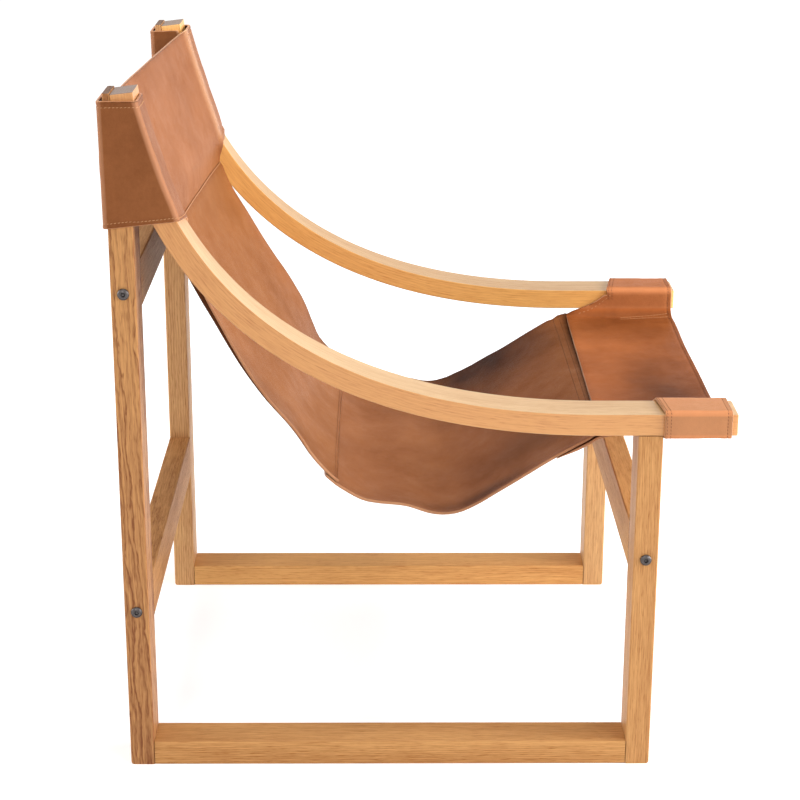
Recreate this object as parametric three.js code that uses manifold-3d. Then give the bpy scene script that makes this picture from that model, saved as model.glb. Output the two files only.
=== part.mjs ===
// Leather sling lounge chair.
// Lengths are in millimetres. +Z is up, the sitter looks along -Y, and the two
// side frames mirror each other about X = 0. Right and left are the sitter's.

import * as THREE from "three";
import { mergeVertices } from "three/addons/utils/BufferGeometryUtils.js";
import Module from "manifold-3d";

const wasm = await Module();
wasm.setup();

// Timber frame
const frameDepth = 655;
const frameWidth = 616;
const memberWidth = 54;
const legDepth = 30;
const postHeight = 851;
const floorRailHeight = 31;
const crossRailHeight = 59;
const crossRailDepth = 30;
const upperRailCentre = 616;
const lowerRailCentre = 210.5;
const frontRailCentre = 279.5;
const easedEdge = 2;
const footRound = 5;

// Bent arm: straight over the front leg, then one long bend up to the post top
const armThickness = 27;
const armAxisHeight = 453.5;
const pegReach = 89;
const straightRun = 164.5;
const lowHandle = 370;
const highHandle = 216;
const topLean = THREE.MathUtils.degToRad(6.9);
const scarfTip = 8;

// Joinery
const jointGap = 0.3;
const tenonLength = 15;
const tenonShoulder = 7;
const tenonCheek = 10;
const dowelRadius = 4;
const dowelLength = 36;
const dowelSpread = 18;
const boltRadius = 4;
const boltLength = 100;
const boltHeadRadius = 7;
const boltHeadHeight = 4.4;
const socketAcross = 5;
const socketDepth = 2.6;
const nutRadius = 6;
const nutLength = 20;
const nutInset = 30;

// Leather sling
const leather = 3.5;
const sheetEdgeGap = 2;
const sheetLap = 16;
const lapGap = 0.7;
const lapBlend = 34;
const sleeveCorner = 6;
const sleeveEase = 0.5;
const sleeveRearSlack = 1.3;
const sleeveEmbed = 8;
const embedThinning = 0.8;
const hangPower = 6;
const hangLean = 0.5;
const headHangLean = 0.88;
const leftEdgeShift = 12.8;

// Back sleeves and head panel
const backSleeveTop = 843;
const backSleeveFront = 703;
const backSleeveRear = 694;
const headSeamHeight = 658;
const headBelly = 26;
const seamBelly = 18.5;

// Seat
const seatLow = 320.5;
const frontSeamSetback = 68.5;
const headSeamSetback = 87.5;
const seatBelly = 7;
const backSeamShare = 0.64;

// Front sleeves and front panel
const frontPanelHeight = 430.5;
const frontSleeveReach = 81.5;
const frontHemReach = 87.5;
const frontSag = 7;
const frontCurl = 14;
const gussetRise = 29;
const sleeveGap = 0.3;
const sleeveSlant = 9.8;
const flapRun = 80;
const flapDroop = 4;

// Counts of faces
const cornerSteps = 3;
const armSteps = 26;
const boltSides = 16;
const pinSides = 14;
const overrun = 1;
const weldDistance = 0.001;

// Places worked out from the sizes
const frontY = -frameDepth / 2;
const rearY = frameDepth / 2;
const outerX = frameWidth / 2;
const innerX = outerX - memberWidth;
const memberX = outerX - memberWidth / 2;
const frontLegY = frontY + legDepth / 2;
const rearLegY = rearY - legDepth / 2;
const armUnderside = armAxisHeight - armThickness / 2;
const pegEndY = frontY - pegReach;
const bendStartY = pegEndY + straightRun;
const armTopY = rearY - scarfTip - armThickness / 2;
const sheetHalf = innerX - sheetEdgeGap;
const lapStep = leather + lapGap;
const backReachY = rearY + sleeveRearSlack + leather;
const centreY = (pegEndY + backReachY) / 2;

// Finishes
const oak = finish("oak", 0xc98f56, 0.55, 0);
const bentOak = finish("bent_oak", 0xdca365, 0.5, 0);
const tanLeather = finish("leather", 0xa8673f, 0.5, 0);
const boltSteel = finish("bolt_steel", 0x8d8883, 0.3, 1);
const zincSteel = finish("nut_steel", 0x9a9b9c, 0.4, 1);
const beech = finish("dowel_beech", 0xd9b98a, 0.7, 0);

function finish(name, color, roughness, metalness) {
  const material = new THREE.MeshStandardMaterial({ color, roughness, metalness });
  material.name = name;
  return material;
}

// Solids from geometries, and back
function toSolid(geometry) {
  const bare = geometry.clone();
  bare.deleteAttribute("normal");
  bare.deleteAttribute("uv");
  const welded = mergeVertices(bare, weldDistance);
  const triVerts = new Uint32Array(welded.index.array);
  const vertProperties = new Float32Array(welded.attributes.position.array);
  const build = () => new wasm.Manifold(new wasm.Mesh({ numProp: 3, vertProperties, triVerts }));
  const solid = build();
  if (solid.volume() > 0) return solid;
  for (let i = 0; i < triVerts.length; i += 3) {
    [triVerts[i + 1], triVerts[i + 2]] = [triVerts[i + 2], triVerts[i + 1]];
  }
  return build();
}

function toGeometry(solid) {
  const { vertProperties, triVerts } = solid.getMesh();
  const geometry = new THREE.BufferGeometry();
  geometry.setAttribute("position", new THREE.BufferAttribute(vertProperties.slice(), 3));
  geometry.setIndex(new THREE.BufferAttribute(triVerts.slice(), 1));
  geometry.computeVertexNormals();
  return geometry;
}

function cut(body, tools) {
  return tools.reduce((rest, tool) => rest.subtract(tool), body);
}

// A closed surface from a list of triangles given by corner numbers
function faceted(points, triangles) {
  const geometry = new THREE.BufferGeometry();
  geometry.setAttribute(
    "position",
    new THREE.Float32BufferAttribute(points.flatMap((p) => p.toArray()), 3),
  );
  geometry.setIndex(triangles.flat());
  return toSolid(geometry);
}

// Basic bodies, centred where they are placed
function block(x, y, z, sizeX, sizeY, sizeZ) {
  return toSolid(new THREE.BoxGeometry(sizeX, sizeY, sizeZ).translate(x, y, z));
}

function pinAlong(axis, place, radius, length, sides = pinSides) {
  const geometry = new THREE.CylinderGeometry(radius, radius, length, sides);
  if (axis === "x") geometry.rotateZ(Math.PI / 2);
  if (axis === "z") geometry.rotateX(Math.PI / 2);
  return toSolid(geometry.translate(place.x, place.y, place.z));
}

function roundedRectangle(width, height, radius) {
  const w = width / 2 - radius;
  const h = height / 2 - radius;
  const shape = new THREE.Shape();
  shape.absarc(w, h, radius, 0, Math.PI / 2);
  shape.absarc(-w, h, radius, Math.PI / 2, Math.PI);
  shape.absarc(-w, -h, radius, Math.PI, 1.5 * Math.PI);
  shape.absarc(w, -h, radius, 1.5 * Math.PI, 2 * Math.PI);
  return shape;
}

// A straight timber with eased long edges, square at both ends
function timber(axis, place, sizeX, sizeY, sizeZ) {
  const section = { x: [sizeZ, sizeY], y: [sizeX, sizeZ], z: [sizeX, sizeY] }[axis];
  const length = { x: sizeX, y: sizeY, z: sizeZ }[axis];
  const geometry = new THREE.ExtrudeGeometry(roundedRectangle(...section, easedEdge), {
    depth: length,
    bevelEnabled: false,
    curveSegments: cornerSteps,
  });
  geometry.translate(0, 0, -length / 2);
  if (axis === "x") geometry.rotateY(Math.PI / 2);
  if (axis === "y") geometry.rotateX(Math.PI / 2);
  return toSolid(geometry.translate(place.x, place.y, place.z));
}

// A plate drawn in the side view, Y across and Z up, and as thick as it is told
function sidePlate(shape, x, thickness) {
  const geometry = new THREE.ExtrudeGeometry(shape, {
    depth: thickness,
    bevelEnabled: false,
    curveSegments: 2 * cornerSteps,
  });
  geometry.translate(0, 0, -thickness / 2);
  const alongX = new THREE.Matrix4().makeBasis(
    new THREE.Vector3(0, 1, 0),
    new THREE.Vector3(0, 0, 1),
    new THREE.Vector3(1, 0, 0),
  );
  return toSolid(geometry.applyMatrix4(alongX).translate(x, 0, 0));
}

// The skin through a row of rings, closed by a fan at each end
function loft(rings) {
  const sides = rings[0].length;
  const points = rings.flat();
  const triangles = [];
  for (let i = 0; i + 1 < rings.length; i++) {
    for (let j = 0; j < sides; j++) {
      const a = i * sides + j;
      const b = i * sides + ((j + 1) % sides);
      triangles.push([a, b, b + sides], [a, b + sides, a + sides]);
    }
  }
  for (const [ring, start, turn] of [
    [rings[0], 0, false],
    [rings.at(-1), (rings.length - 1) * sides, true],
  ]) {
    const middle = points.length;
    points.push(ring.reduce((sum, p) => sum.add(p), new THREE.Vector3()).divideScalar(sides));
    for (let j = 0; j < sides; j++) {
      const a = start + j;
      const b = start + ((j + 1) % sides);
      triangles.push(turn ? [middle, a, b] : [middle, b, a]);
    }
  }
  return faceted(points, triangles);
}

// The arm's centre line in the side view
const armBend = new THREE.CubicBezierCurve3(
  new THREE.Vector3(0, bendStartY, armAxisHeight),
  new THREE.Vector3(0, bendStartY + lowHandle, armAxisHeight),
  new THREE.Vector3(
    0,
    armTopY - highHandle * Math.sin(topLean),
    postHeight - highHandle * Math.cos(topLean),
  ),
  new THREE.Vector3(0, armTopY, postHeight),
);

// Above the seat side of the line this normal points up, and at the post it points forward
function acrossBend(t) {
  const along = armBend.getTangent(t);
  return new THREE.Vector3(0, -along.z, along.y);
}

function armFace(t, side) {
  return armBend.getPoint(t).addScaledVector(acrossBend(t), side);
}

// How far back the arm's front face lies at a height beside the post
function armFrontAt(height) {
  let low = 0;
  let high = 1;
  for (let i = 0; i < armSteps; i++) {
    const middle = (low + high) / 2;
    if (armFace(middle, armThickness / 2).z < height) low = middle;
    else high = middle;
  }
  return armFace(low, armThickness / 2).y;
}

// The taut sleeve spans the hollow of the arm's curve in a straight line
function sleeveFrontAt(height) {
  const share = (height - backSleeveFront) / (backSleeveTop - backSleeveFront);
  return THREE.MathUtils.lerp(armFrontAt(backSleeveFront), armFrontAt(backSleeveTop), share);
}

// Rounding of a sawn end: how far in, and how much the section shrinks there
const endRoundShares = [
  [0, 1],
  [0.3, 0.3],
  [1, 0],
];

function armRing(centre, normal, x, shrink) {
  const outline = roundedRectangle(memberWidth, armThickness, easedEdge);
  const across = (memberWidth - 2 * shrink) / memberWidth;
  const through = (armThickness - 2 * shrink) / armThickness;
  return outline
    .extractPoints(cornerSteps)
    .shape.slice(0, -1)
    .map((p) =>
      centre
        .clone()
        .add(new THREE.Vector3(x + p.x * across, 0, 0))
        .addScaledVector(normal, p.y * through),
    );
}

function arm(x) {
  const up = new THREE.Vector3(0, 0, 1);
  const rings = endRoundShares.map(([inward, shrink]) =>
    armRing(
      new THREE.Vector3(0, pegEndY + inward * easedEdge, armAxisHeight),
      up,
      x,
      shrink * easedEdge,
    ),
  );
  const bendLength = armBend.getLength();
  for (let i = 0; i < armSteps; i++) {
    const t = armBend.getUtoTmapping((i / armSteps) * (1 - easedEdge / bendLength));
    rings.push(armRing(armBend.getPoint(t), acrossBend(t), x, 0));
  }
  for (const [inward, shrink] of [...endRoundShares].reverse()) {
    const t = armBend.getUtoTmapping(1 - (inward * easedEdge) / bendLength);
    rings.push(armRing(armBend.getPoint(t), acrossBend(t), x, shrink * easedEdge));
  }
  return cut(loft(rings), [
    block(
      x,
      frontLegY,
      armUnderside + (tenonLength + jointGap - overrun) / 2,
      memberWidth - 2 * tenonCheek + 2 * jointGap,
      legDepth - 2 * tenonShoulder + 2 * jointGap,
      tenonLength + jointGap + overrun,
    ),
  ]);
}

// A floor rail between the legs, with a stub tenon at each end
function floorRail(x) {
  const between = frameDepth - 2 * legDepth - 2 * jointGap;
  const place = new THREE.Vector3(x, 0, floorRailHeight / 2);
  const body = timber("y", place, memberWidth, between, floorRailHeight);
  const tongue = block(
    x,
    0,
    floorRailHeight / 2,
    memberWidth - 2 * tenonCheek,
    between + 2 * tenonLength,
    floorRailHeight - 2 * tenonShoulder,
  );
  return body.add(tongue);
}

function floorRailMortise(x, legY) {
  const inward = -Math.sign(legY);
  return block(
    x,
    legY + (inward * (legDepth - tenonLength - jointGap + overrun)) / 2,
    floorRailHeight / 2,
    memberWidth - 2 * tenonCheek + 2 * jointGap,
    tenonLength + jointGap + overrun,
    floorRailHeight - 2 * tenonShoulder + 2 * jointGap,
  );
}

// Round holes that a leg takes from one cross rail: one bolt and two dowels
function legBores(x, legY, height) {
  const inward = -Math.sign(x);
  const dowelDepth = dowelLength / 2 + jointGap;
  const dowelX = x + (inward * (memberWidth - dowelDepth + overrun)) / 2;
  const bolt = pinAlong(
    "x",
    new THREE.Vector3(x, legY, height),
    boltRadius + jointGap,
    memberWidth + 2 * overrun,
  );
  const dowels = [dowelSpread, -dowelSpread].map((lift) =>
    pinAlong(
      "x",
      new THREE.Vector3(dowelX, legY, height + lift),
      dowelRadius + jointGap,
      dowelDepth + overrun,
    ),
  );
  return [bolt, ...dowels];
}

// Only the foot's outer corner is rounded, in the side view
function footOutline(legY, height) {
  const outward = Math.sign(legY);
  const front = legY - (outward * legDepth) / 2;
  const back = legY + (outward * legDepth) / 2;
  const shape = new THREE.Shape();
  shape.moveTo(front, 0);
  shape.lineTo(back - outward * footRound, 0);
  shape.quadraticCurveTo(back, 0, back, footRound);
  shape.lineTo(back, height);
  shape.lineTo(front, height);
  shape.closePath();
  return shape;
}

function leg(x, legY, height) {
  const body = timber("z", new THREE.Vector3(x, legY, height / 2), memberWidth, legDepth, height);
  const foot = sidePlate(footOutline(legY, height), x, memberWidth);
  return cut(body.intersect(foot), [floorRailMortise(x, legY)]);
}

// The long slope on the post that the arm is glued to follows the arm's back face
function scarfCutter(x) {
  const shape = new THREE.Shape();
  const offset = -(armThickness / 2 + jointGap);
  const foot = armFace(0.5, offset);
  shape.moveTo(foot.y, foot.z);
  for (let i = armSteps / 2 + 1; i <= armSteps; i++) {
    const p = armFace(i / armSteps, offset);
    shape.lineTo(p.y, p.z);
  }
  const tip = armFace(1, offset);
  shape.lineTo(tip.y + overrun * Math.sin(topLean), postHeight + overrun);
  shape.lineTo(foot.y, postHeight + overrun);
  shape.closePath();
  return sidePlate(shape, x, memberWidth + 2 * overrun);
}

function rearLeg(x) {
  return cut(leg(x, rearLegY, postHeight), [
    scarfCutter(x),
    ...legBores(x, rearLegY, upperRailCentre),
    ...legBores(x, rearLegY, lowerRailCentre),
  ]);
}

function frontLeg(x) {
  const body = leg(x, frontLegY, armUnderside - jointGap);
  const tenonRoot = armUnderside - tenonLength;
  const tenonTop = armUnderside + tenonLength;
  const tenon = block(
    x,
    frontLegY,
    (tenonRoot + tenonTop) / 2,
    memberWidth - 2 * tenonCheek,
    legDepth - 2 * tenonShoulder,
    tenonTop - tenonRoot,
  );
  return cut(body.add(tenon), legBores(x, frontLegY, frontRailCentre));
}

// A cross rail between the side frames, bored at each end for its bolt, nut and dowels
function crossRail(legY, height) {
  const length = 2 * (innerX - jointGap);
  const place = new THREE.Vector3(0, legY, height);
  const body = timber("x", place, length, crossRailDepth, crossRailHeight);
  const bores = [-1, 1].flatMap((side) => railEndBores(side, legY, height));
  return cut(body, bores);
}

function railEndBores(side, legY, height) {
  const boltDepth = boltLength - memberWidth + jointGap;
  const dowelDepth = dowelLength / 2 + jointGap;
  const nutBore = crossRailHeight / 2 + nutLength / 2 + jointGap;
  const endX = (depth) => side * (innerX - (depth - overrun) / 2);
  const at = (x, lift) => new THREE.Vector3(x, legY, height + lift);
  return [
    pinAlong("x", at(endX(boltDepth), 0), boltRadius + jointGap, boltDepth + overrun),
    ...[dowelSpread, -dowelSpread].map((lift) =>
      pinAlong("x", at(endX(dowelDepth), lift), dowelRadius + jointGap, dowelDepth + overrun),
    ),
    pinAlong(
      "z",
      at(side * (innerX - nutInset), (nutBore - overrun - crossRailHeight) / 2),
      nutRadius + jointGap,
      nutBore + overrun,
    ),
  ];
}

// Button-head bolt with a hexagon socket, its head on the leg's outer face
function bolt(side, legY, height) {
  const dome = new THREE.EllipseCurve(0, 0, boltHeadRadius, boltHeadHeight, Math.PI / 2, 0, true);
  const rise = dome.getPoints(2 * cornerSteps).slice(0, -1);
  const profile = [
    ...rise.map((p) => new THREE.Vector2(p.x, p.y)),
    new THREE.Vector2(boltHeadRadius, 0),
    new THREE.Vector2(boltRadius, 0),
    new THREE.Vector2(boltRadius, -boltLength + boltRadius / 4),
    new THREE.Vector2(0.75 * boltRadius, -boltLength),
    new THREE.Vector2(0, -boltLength),
  ];
  profile[0].x = 0;
  const body = toSolid(new THREE.LatheGeometry(profile, boltSides));
  const corner = socketAcross / Math.sqrt(3);
  const socket = new THREE.CylinderGeometry(corner, corner, socketDepth + overrun, 6);
  socket.translate(0, boltHeadHeight - (socketDepth - overrun) / 2, 0);
  const upright = cut(body, [toSolid(socket)]);
  const lay = new THREE.Matrix4().makeRotationZ((-side * Math.PI) / 2);
  lay.setPosition(side * (outerX + jointGap), legY, height);
  return toSolid(toGeometry(upright).applyMatrix4(lay));
}

function barrelNut(side, legY, height) {
  const place = new THREE.Vector3(side * (innerX - nutInset), legY, height);
  const body = pinAlong("z", place, nutRadius, nutLength);
  const thread = pinAlong("x", place, boltRadius + jointGap, 2 * (nutRadius + overrun));
  return cut(body, [thread]);
}

function dowel(side, legY, height) {
  return pinAlong("x", new THREE.Vector3(side * innerX, legY, height), dowelRadius, dowelLength);
}

// Leather: a sheet as thick as it is told, either side of a grid of points
function sheet(grid, thicknessAt = () => leather) {
  const rows = grid.length;
  const columns = grid[0].length;
  const near = (i, top) => Math.min(Math.max(i, 0), top);
  const points = [];
  for (const side of [0.5, -0.5]) {
    for (let i = 0; i < rows; i++) {
      for (let j = 0; j < columns; j++) {
        const down = grid[near(i + 1, rows - 1)][j].clone().sub(grid[near(i - 1, rows - 1)][j]);
        const across = grid[i][near(j + 1, columns - 1)]
          .clone()
          .sub(grid[i][near(j - 1, columns - 1)]);
        const normal = down.cross(across).normalize();
        points.push(grid[i][j].clone().addScaledVector(normal, side * thicknessAt(i, j)));
      }
    }
  }
  const under = rows * columns;
  const triangles = [];
  for (let i = 0; i + 1 < rows; i++) {
    for (let j = 0; j + 1 < columns; j++) {
      const a = i * columns + j;
      const c = a + columns;
      triangles.push([a, a + 1, c + 1], [a, c + 1, c]);
      triangles.push([under + a, under + c + 1, under + a + 1], [under + a, under + c, under + c + 1]);
    }
  }
  const rim = [];
  for (let j = 0; j + 1 < columns; j++) rim.push(j);
  for (let i = 0; i + 1 < rows; i++) rim.push(i * columns + columns - 1);
  for (let j = columns - 1; j > 0; j--) rim.push((rows - 1) * columns + j);
  for (let i = rows - 1; i > 0; i--) rim.push(i * columns);
  rim.forEach((a, k) => {
    const b = rim[(k + 1) % rim.length];
    triangles.push([b, a, under + a], [b, under + a, under + b]);
  });
  return faceted(points, triangles);
}

// Leather wrapped round timber: the skin between two rows of rings, open at both ends
function sleeve(outerRings, innerRings) {
  const sides = outerRings[0].length;
  const points = [...outerRings.flat(), ...innerRings.flat()];
  const inner = outerRings.length * sides;
  const last = (outerRings.length - 1) * sides;
  const triangles = [];
  for (let j = 0; j < sides; j++) {
    const k = (j + 1) % sides;
    for (let i = 0; i < last; i += sides) {
      const [a, b] = [i + j, i + k];
      triangles.push([a, b, b + sides], [a, b + sides, a + sides]);
      triangles.push([inner + a, inner + b + sides, inner + b]);
      triangles.push([inner + a, inner + a + sides, inner + b + sides]);
    }
    triangles.push([j, inner + j, inner + k], [j, inner + k, k]);
    triangles.push([last + j, last + k, inner + last + k]);
    triangles.push([last + j, inner + last + k, inner + last + j]);
  }
  return faceted(points, triangles);
}

function sleeveLoop(low, high, radius) {
  const outline = roundedRectangle(high.x - low.x, high.y - low.y, radius);
  const middle = low.clone().add(high).divideScalar(2);
  return outline
    .extractPoints(cornerSteps)
    .shape.slice(0, -1)
    .map((p) => p.add(middle));
}

// The sling's edge in the side view, from the front seam to the head seam, as
// shares of its run towards the back and of its rise above the lowest point
const slingShares = [
  [0.011, 0.305],
  [0.038, 0.279],
  [0.069, 0.253],
  [0.128, 0.201],
  [0.195, 0.136],
  [0.254, 0.08],
  [0.31, 0.028],
  [0.359, -0.002],
  [0.413, -0.003],
  [0.477, 0.027],
  [0.541, 0.04],
  [0.591, 0.064],
  [0.63, 0.119],
  [0.668, 0.171],
  [0.701, 0.23],
  [0.728, 0.295],
  [0.758, 0.357],
  [0.808, 0.447],
  [0.852, 0.543],
  [0.89, 0.644],
  [0.928, 0.755],
  [0.97, 0.873],
  [0.991, 0.947],
  [1, 1],
];
const alongArmShares = [0, 0.33, 0.67, 1];

// How far the sitter's left edge hangs behind the right one: share of the sling's
// length, and share of the shift
const leftEdgeShares = [
  [0, 0],
  [0.025, 0],
  [0.046, -0.7],
  [0.103, -0.6],
  [0.22, -1],
  [0.27, -0.8],
  [0.34, -0.1],
  [0.43, 0.8],
  [0.475, 0.9],
  [0.53, -0.1],
  [0.585, -0.7],
  [0.66, -0.45],
  [0.786, 0],
  [1, 0],
];

const frontSeamY = frontY + frontSeamSetback;
const headSeamY = rearY - headSeamSetback;

const slingEdge = new THREE.SplineCurve([
  new THREE.Vector2(frontSeamY - sheetLap, frontPanelHeight - lapStep),
  new THREE.Vector2(frontSeamY - sheetLap / 2, frontPanelHeight - lapStep),
  ...slingShares.map(
    ([run, rise]) =>
      new THREE.Vector2(
        frontSeamY + run * (headSeamY - frontSeamY),
        seatLow + rise * (headSeamHeight - seatLow),
      ),
  ),
  ...alongArmShares.map((share) => {
    const height = backSleeveFront + share * (backSleeveTop - backSleeveFront);
    return new THREE.Vector2(sleeveFrontAt(height) - sleeveEase - leather / 2, height);
  }),
]);
slingEdge.arcLengthDivisions = 1000;
const slingLength = slingEdge.getLength();

// The length along the sling's edge at which a test on the point first holds
function slingReach(test) {
  const steps = slingEdge.arcLengthDivisions;
  for (let i = 0; i <= steps; i++) {
    if (test(slingEdge.getPointAt(i / steps))) return (i / steps) * slingLength;
  }
  return slingLength;
}

const reachFrontSeam = sheetLap;
const reachBackSeam = slingReach(
  (p) => p.y < headSeamHeight && p.x > frontSeamY + backSeamShare * (headSeamY - frontSeamY),
);
const reachHeadSeam = slingReach((p) => p.y > headSeamHeight);
const reachSleeve = slingReach((p) => p.y > backSleeveFront);

// Share of the slack at a place across the width: the leather turns back quickly beside
// each edge, and hangs fuller on the sitter's right
function hang(x, lean = hangLean) {
  const across = THREE.MathUtils.clamp(x / sheetHalf, -1, 1);
  return (1 - Math.abs(across) ** hangPower) * (1 - lean * across);
}

// How steeply the slack grows across the width, so that lapped sheets keep their distance
function hangSlope(x, lean) {
  const inside = THREE.MathUtils.clamp(x, leather - sheetHalf, sheetHalf - leather);
  return (hang(inside + leather, lean) - hang(inside - leather, lean)) / (2 * leather);
}

// A value between marks along the sling
function between(stops, reach) {
  const next = Math.max(1, stops.findIndex(([at]) => at >= reach));
  const [[from, low], [to, high]] = [stops[next - 1], stops[next]];
  return THREE.MathUtils.lerp(low, high, (reach - from) / (to - from));
}

// The leather hangs back from its edges, most at the head
const bellyStops = [
  [0, frontSag],
  [reachFrontSeam, frontSag],
  [reachBackSeam, seatBelly],
  [reachHeadSeam, seamBelly],
  [slingLength, headBelly],
];
const leanStops = [
  [0, hangLean],
  [reachBackSeam, hangLean],
  [reachHeadSeam, headHangLean],
  [slingLength, headHangLean],
];
const shiftStops = leftEdgeShares.map(([at, share]) => [
  at * slingLength,
  share * leftEdgeShift,
]);

function slingPoint(reach, x, setBack) {
  const u = Math.min(reach / slingLength, 1);
  const edge = slingEdge.getPointAt(u);
  const along = slingEdge.getTangentAt(u);
  const at = Math.min(reach, slingLength);
  const leftward = THREE.MathUtils.clamp((x / sheetHalf + 1) / 2, 0, 1);
  const depth = between(bellyStops, at);
  const lean = between(leanStops, at);
  const apart = setBack * Math.hypot(1, depth * hangSlope(x, lean));
  const back = apart + depth * hang(x, lean) + between(shiftStops, at) * leftward;
  return new THREE.Vector3(x, edge.x + along.y * back, edge.y - along.x * back);
}

// Columns of points stand closer together beside the edges
const halfColumnShares = [0.3, 0.55, 0.75, 0.87, 0.95, 1];
const columnShares = [...halfColumnShares.map((share) => -share).reverse(), 0, ...halfColumnShares];

function slingGrid(from, to, rows, setBackAt) {
  return Array.from({ length: rows + 1 }, (_, i) => {
    const reach = from + ((to - from) * i) / rows;
    return columnShares.map((share) => slingPoint(reach, sheetHalf * share, setBackAt(reach)));
  });
}

// The seat panel's back end lies behind the lower back panel
function seatPanel() {
  const end = reachBackSeam + sheetLap;
  const setBack = (reach) =>
    lapStep * THREE.MathUtils.smoothstep(reach, reachBackSeam - lapBlend, reachBackSeam - jointGap);
  return sheet(slingGrid(0, end, 34, setBack));
}

function lowerBackPanel() {
  return sheet(slingGrid(reachBackSeam, reachHeadSeam, 26, () => 0));
}

// The head panel's lower edge lies behind the lower back panel, and its sides run
// into the front of the back sleeves
function headPanel() {
  const clearOfSeam = reachHeadSeam + 2 * leather;
  const setBack = (reach) =>
    lapStep - lapStep * THREE.MathUtils.smoothstep(reach, clearOfSeam, clearOfSeam + lapBlend);
  const below = slingGrid(reachHeadSeam - sheetLap, reachSleeve, 7, setBack);
  const wide = innerX + sleeveEmbed;
  const above = slingGrid(reachSleeve + leather, slingLength, 8, setBack).map((row, i) => {
    const reach = reachSleeve + leather + ((slingLength - reachSleeve - leather) * i) / 8;
    return [slingPoint(reach, -wide, 0), ...row, slingPoint(reach, wide, 0)];
  });
  const doubled = below.map((row) => [row[0].clone(), ...row, row.at(-1).clone()]);
  doubled.forEach((row) => {
    row[0].x -= sheetEdgeGap / 4;
    row.at(-1).x += sheetEdgeGap / 4;
  });
  const thin = leather * embedThinning;
  const middle = sheet([...doubled, ...above], (i, j) => {
    const atSide = j === 0 || j === doubled[0].length - 1;
    return atSide && i >= doubled.length ? thin : leather;
  });
  return [-1, 1].reduce((whole, side) => whole.add(backSleeve(side)), middle);
}

function backSleeve(side) {
  const steps = 2;
  const ring = (i, skin, radius) => {
    const share = i / steps;
    const front = THREE.MathUtils.lerp(backSleeveFront, backSleeveTop, share);
    const rear = THREE.MathUtils.lerp(backSleeveRear, backSleeveTop, share);
    const near = sleeveFrontAt(front) - sleeveEase - skin;
    const far = rearY + sleeveRearSlack + skin;
    const low = new THREE.Vector2(innerX - jointGap - skin, near);
    const high = new THREE.Vector2(outerX + jointGap + skin, far);
    return sleeveLoop(low, high, radius).map((p) => {
      const height = THREE.MathUtils.lerp(front, rear, (p.y - near) / (far - near));
      return new THREE.Vector3(side * p.x, p.y, height);
    });
  };
  const rows = Array.from({ length: steps + 1 }, (_, i) => i);
  return sleeve(
    rows.map((i) => ring(i, leather, sleeveCorner)),
    rows.map((i) => ring(i, 0, sleeveCorner - leather)),
  );
}

// The front panel curls up at each side into the sleeve on the arm. Behind the sleeve its
// upright edge slopes down to the seam as a gusset, and a flap backs the seam from below
function frontPanel() {
  const wallX = innerX - jointGap - leather / 2;
  const sleeveRearY = frontY - sleeveGap;
  const slopeTopY = sleeveRearY + sleeveSlant;
  const rows = 14;
  const grid = Array.from({ length: rows + 1 }, (_, i) =>
    curlSection(wallX).map(({ x, turn, top }) => {
      const hemY = frontY - THREE.MathUtils.lerp(frontSleeveReach, frontHemReach, hang(x));
      const y = THREE.MathUtils.lerp(hemY, frontSeamY, i / rows);
      const slope = THREE.MathUtils.clamp((y - slopeTopY) / (frontSeamY - slopeTopY), 0, 1);
      const rise = gussetRise * (1 - slope);
      const curl = Math.min(frontCurl, rise);
      const lift = curl * turn + (rise - curl) * top;
      return new THREE.Vector3(x, y, frontPanelHeight - frontSag * hang(x) + lift);
    }),
  );
  const last = grid[0].length - 1;
  const thin = leather * embedThinning;
  const middle = sheet(grid, (i, j) => (j < 2 || j > last - 2 ? thin : leather));
  const sleeves = [-1, 1].map((side) => frontSleeve(side, sleeveRearY));
  return [...sleeves, seamFlap()].reduce((whole, piece) => whole.add(piece), middle);
}

// The front panel's section from side to side: flat, then a quarter turn, then upright
function curlSection(wallX) {
  const flatX = wallX - frontCurl;
  const flatShares = [0, 0.3, 0.55, 0.75, 0.9, 1];
  const turnShares = [0.33, 0.67, 1];
  const half = [
    ...flatShares.map((share) => ({ x: flatX * share, turn: 0, top: 0 })),
    ...turnShares.map((share) => {
      const angle = (share * Math.PI) / 2;
      return { x: flatX + frontCurl * Math.sin(angle), turn: 1 - Math.cos(angle), top: 0 };
    }),
    { x: wallX, turn: 1, top: 1 },
  ];
  const mirrored = half.slice(1).reverse();
  return [...mirrored.map((p) => ({ ...p, x: -p.x })), ...half];
}

// The flap starts inside the front panel and runs back under the seat panel
function seamFlap() {
  const droop = (reach) => flapDroop * (1 - (reach / flapRun) ** 2) * Math.min(1, reach / sheetLap);
  const under = slingGrid(0, flapRun, 6, (reach) => lapStep + droop(reach));
  const shift = (y, z) => under[0].map((p) => p.clone().add(new THREE.Vector3(0, y, z)));
  const root = shift(-4 * leather, 2 * lapStep - 0.7 * leather);
  return sheet([root, shift(-leather, 0), ...under]);
}

// The sleeve's back end slants: it reaches furthest back at the top of its inner side
function frontSleeve(side, rearEnd) {
  const ring = (y, slant, skin, radius) => {
    const low = new THREE.Vector2(innerX - jointGap - skin, armUnderside - jointGap - skin);
    const high = new THREE.Vector2(
      outerX + jointGap + skin,
      armUnderside + armThickness + jointGap + skin,
    );
    const size = high.clone().sub(low);
    return sleeveLoop(low, high, radius).map((p) => {
      const corner = ((high.x - p.x) / size.x) * ((p.y - low.y) / size.y);
      return new THREE.Vector3(side * p.x, y + slant * corner, p.y);
    });
  };
  const ends = [
    [rearEnd, sleeveSlant],
    [frontY - frontSleeveReach, 0],
  ];
  return sleeve(
    ends.map(([y, slant]) => ring(y, slant, leather, sleeveCorner)),
    ends.map(([y, slant]) => ring(y, slant, 0, sleeveCorner - leather)),
  );
}

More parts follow.
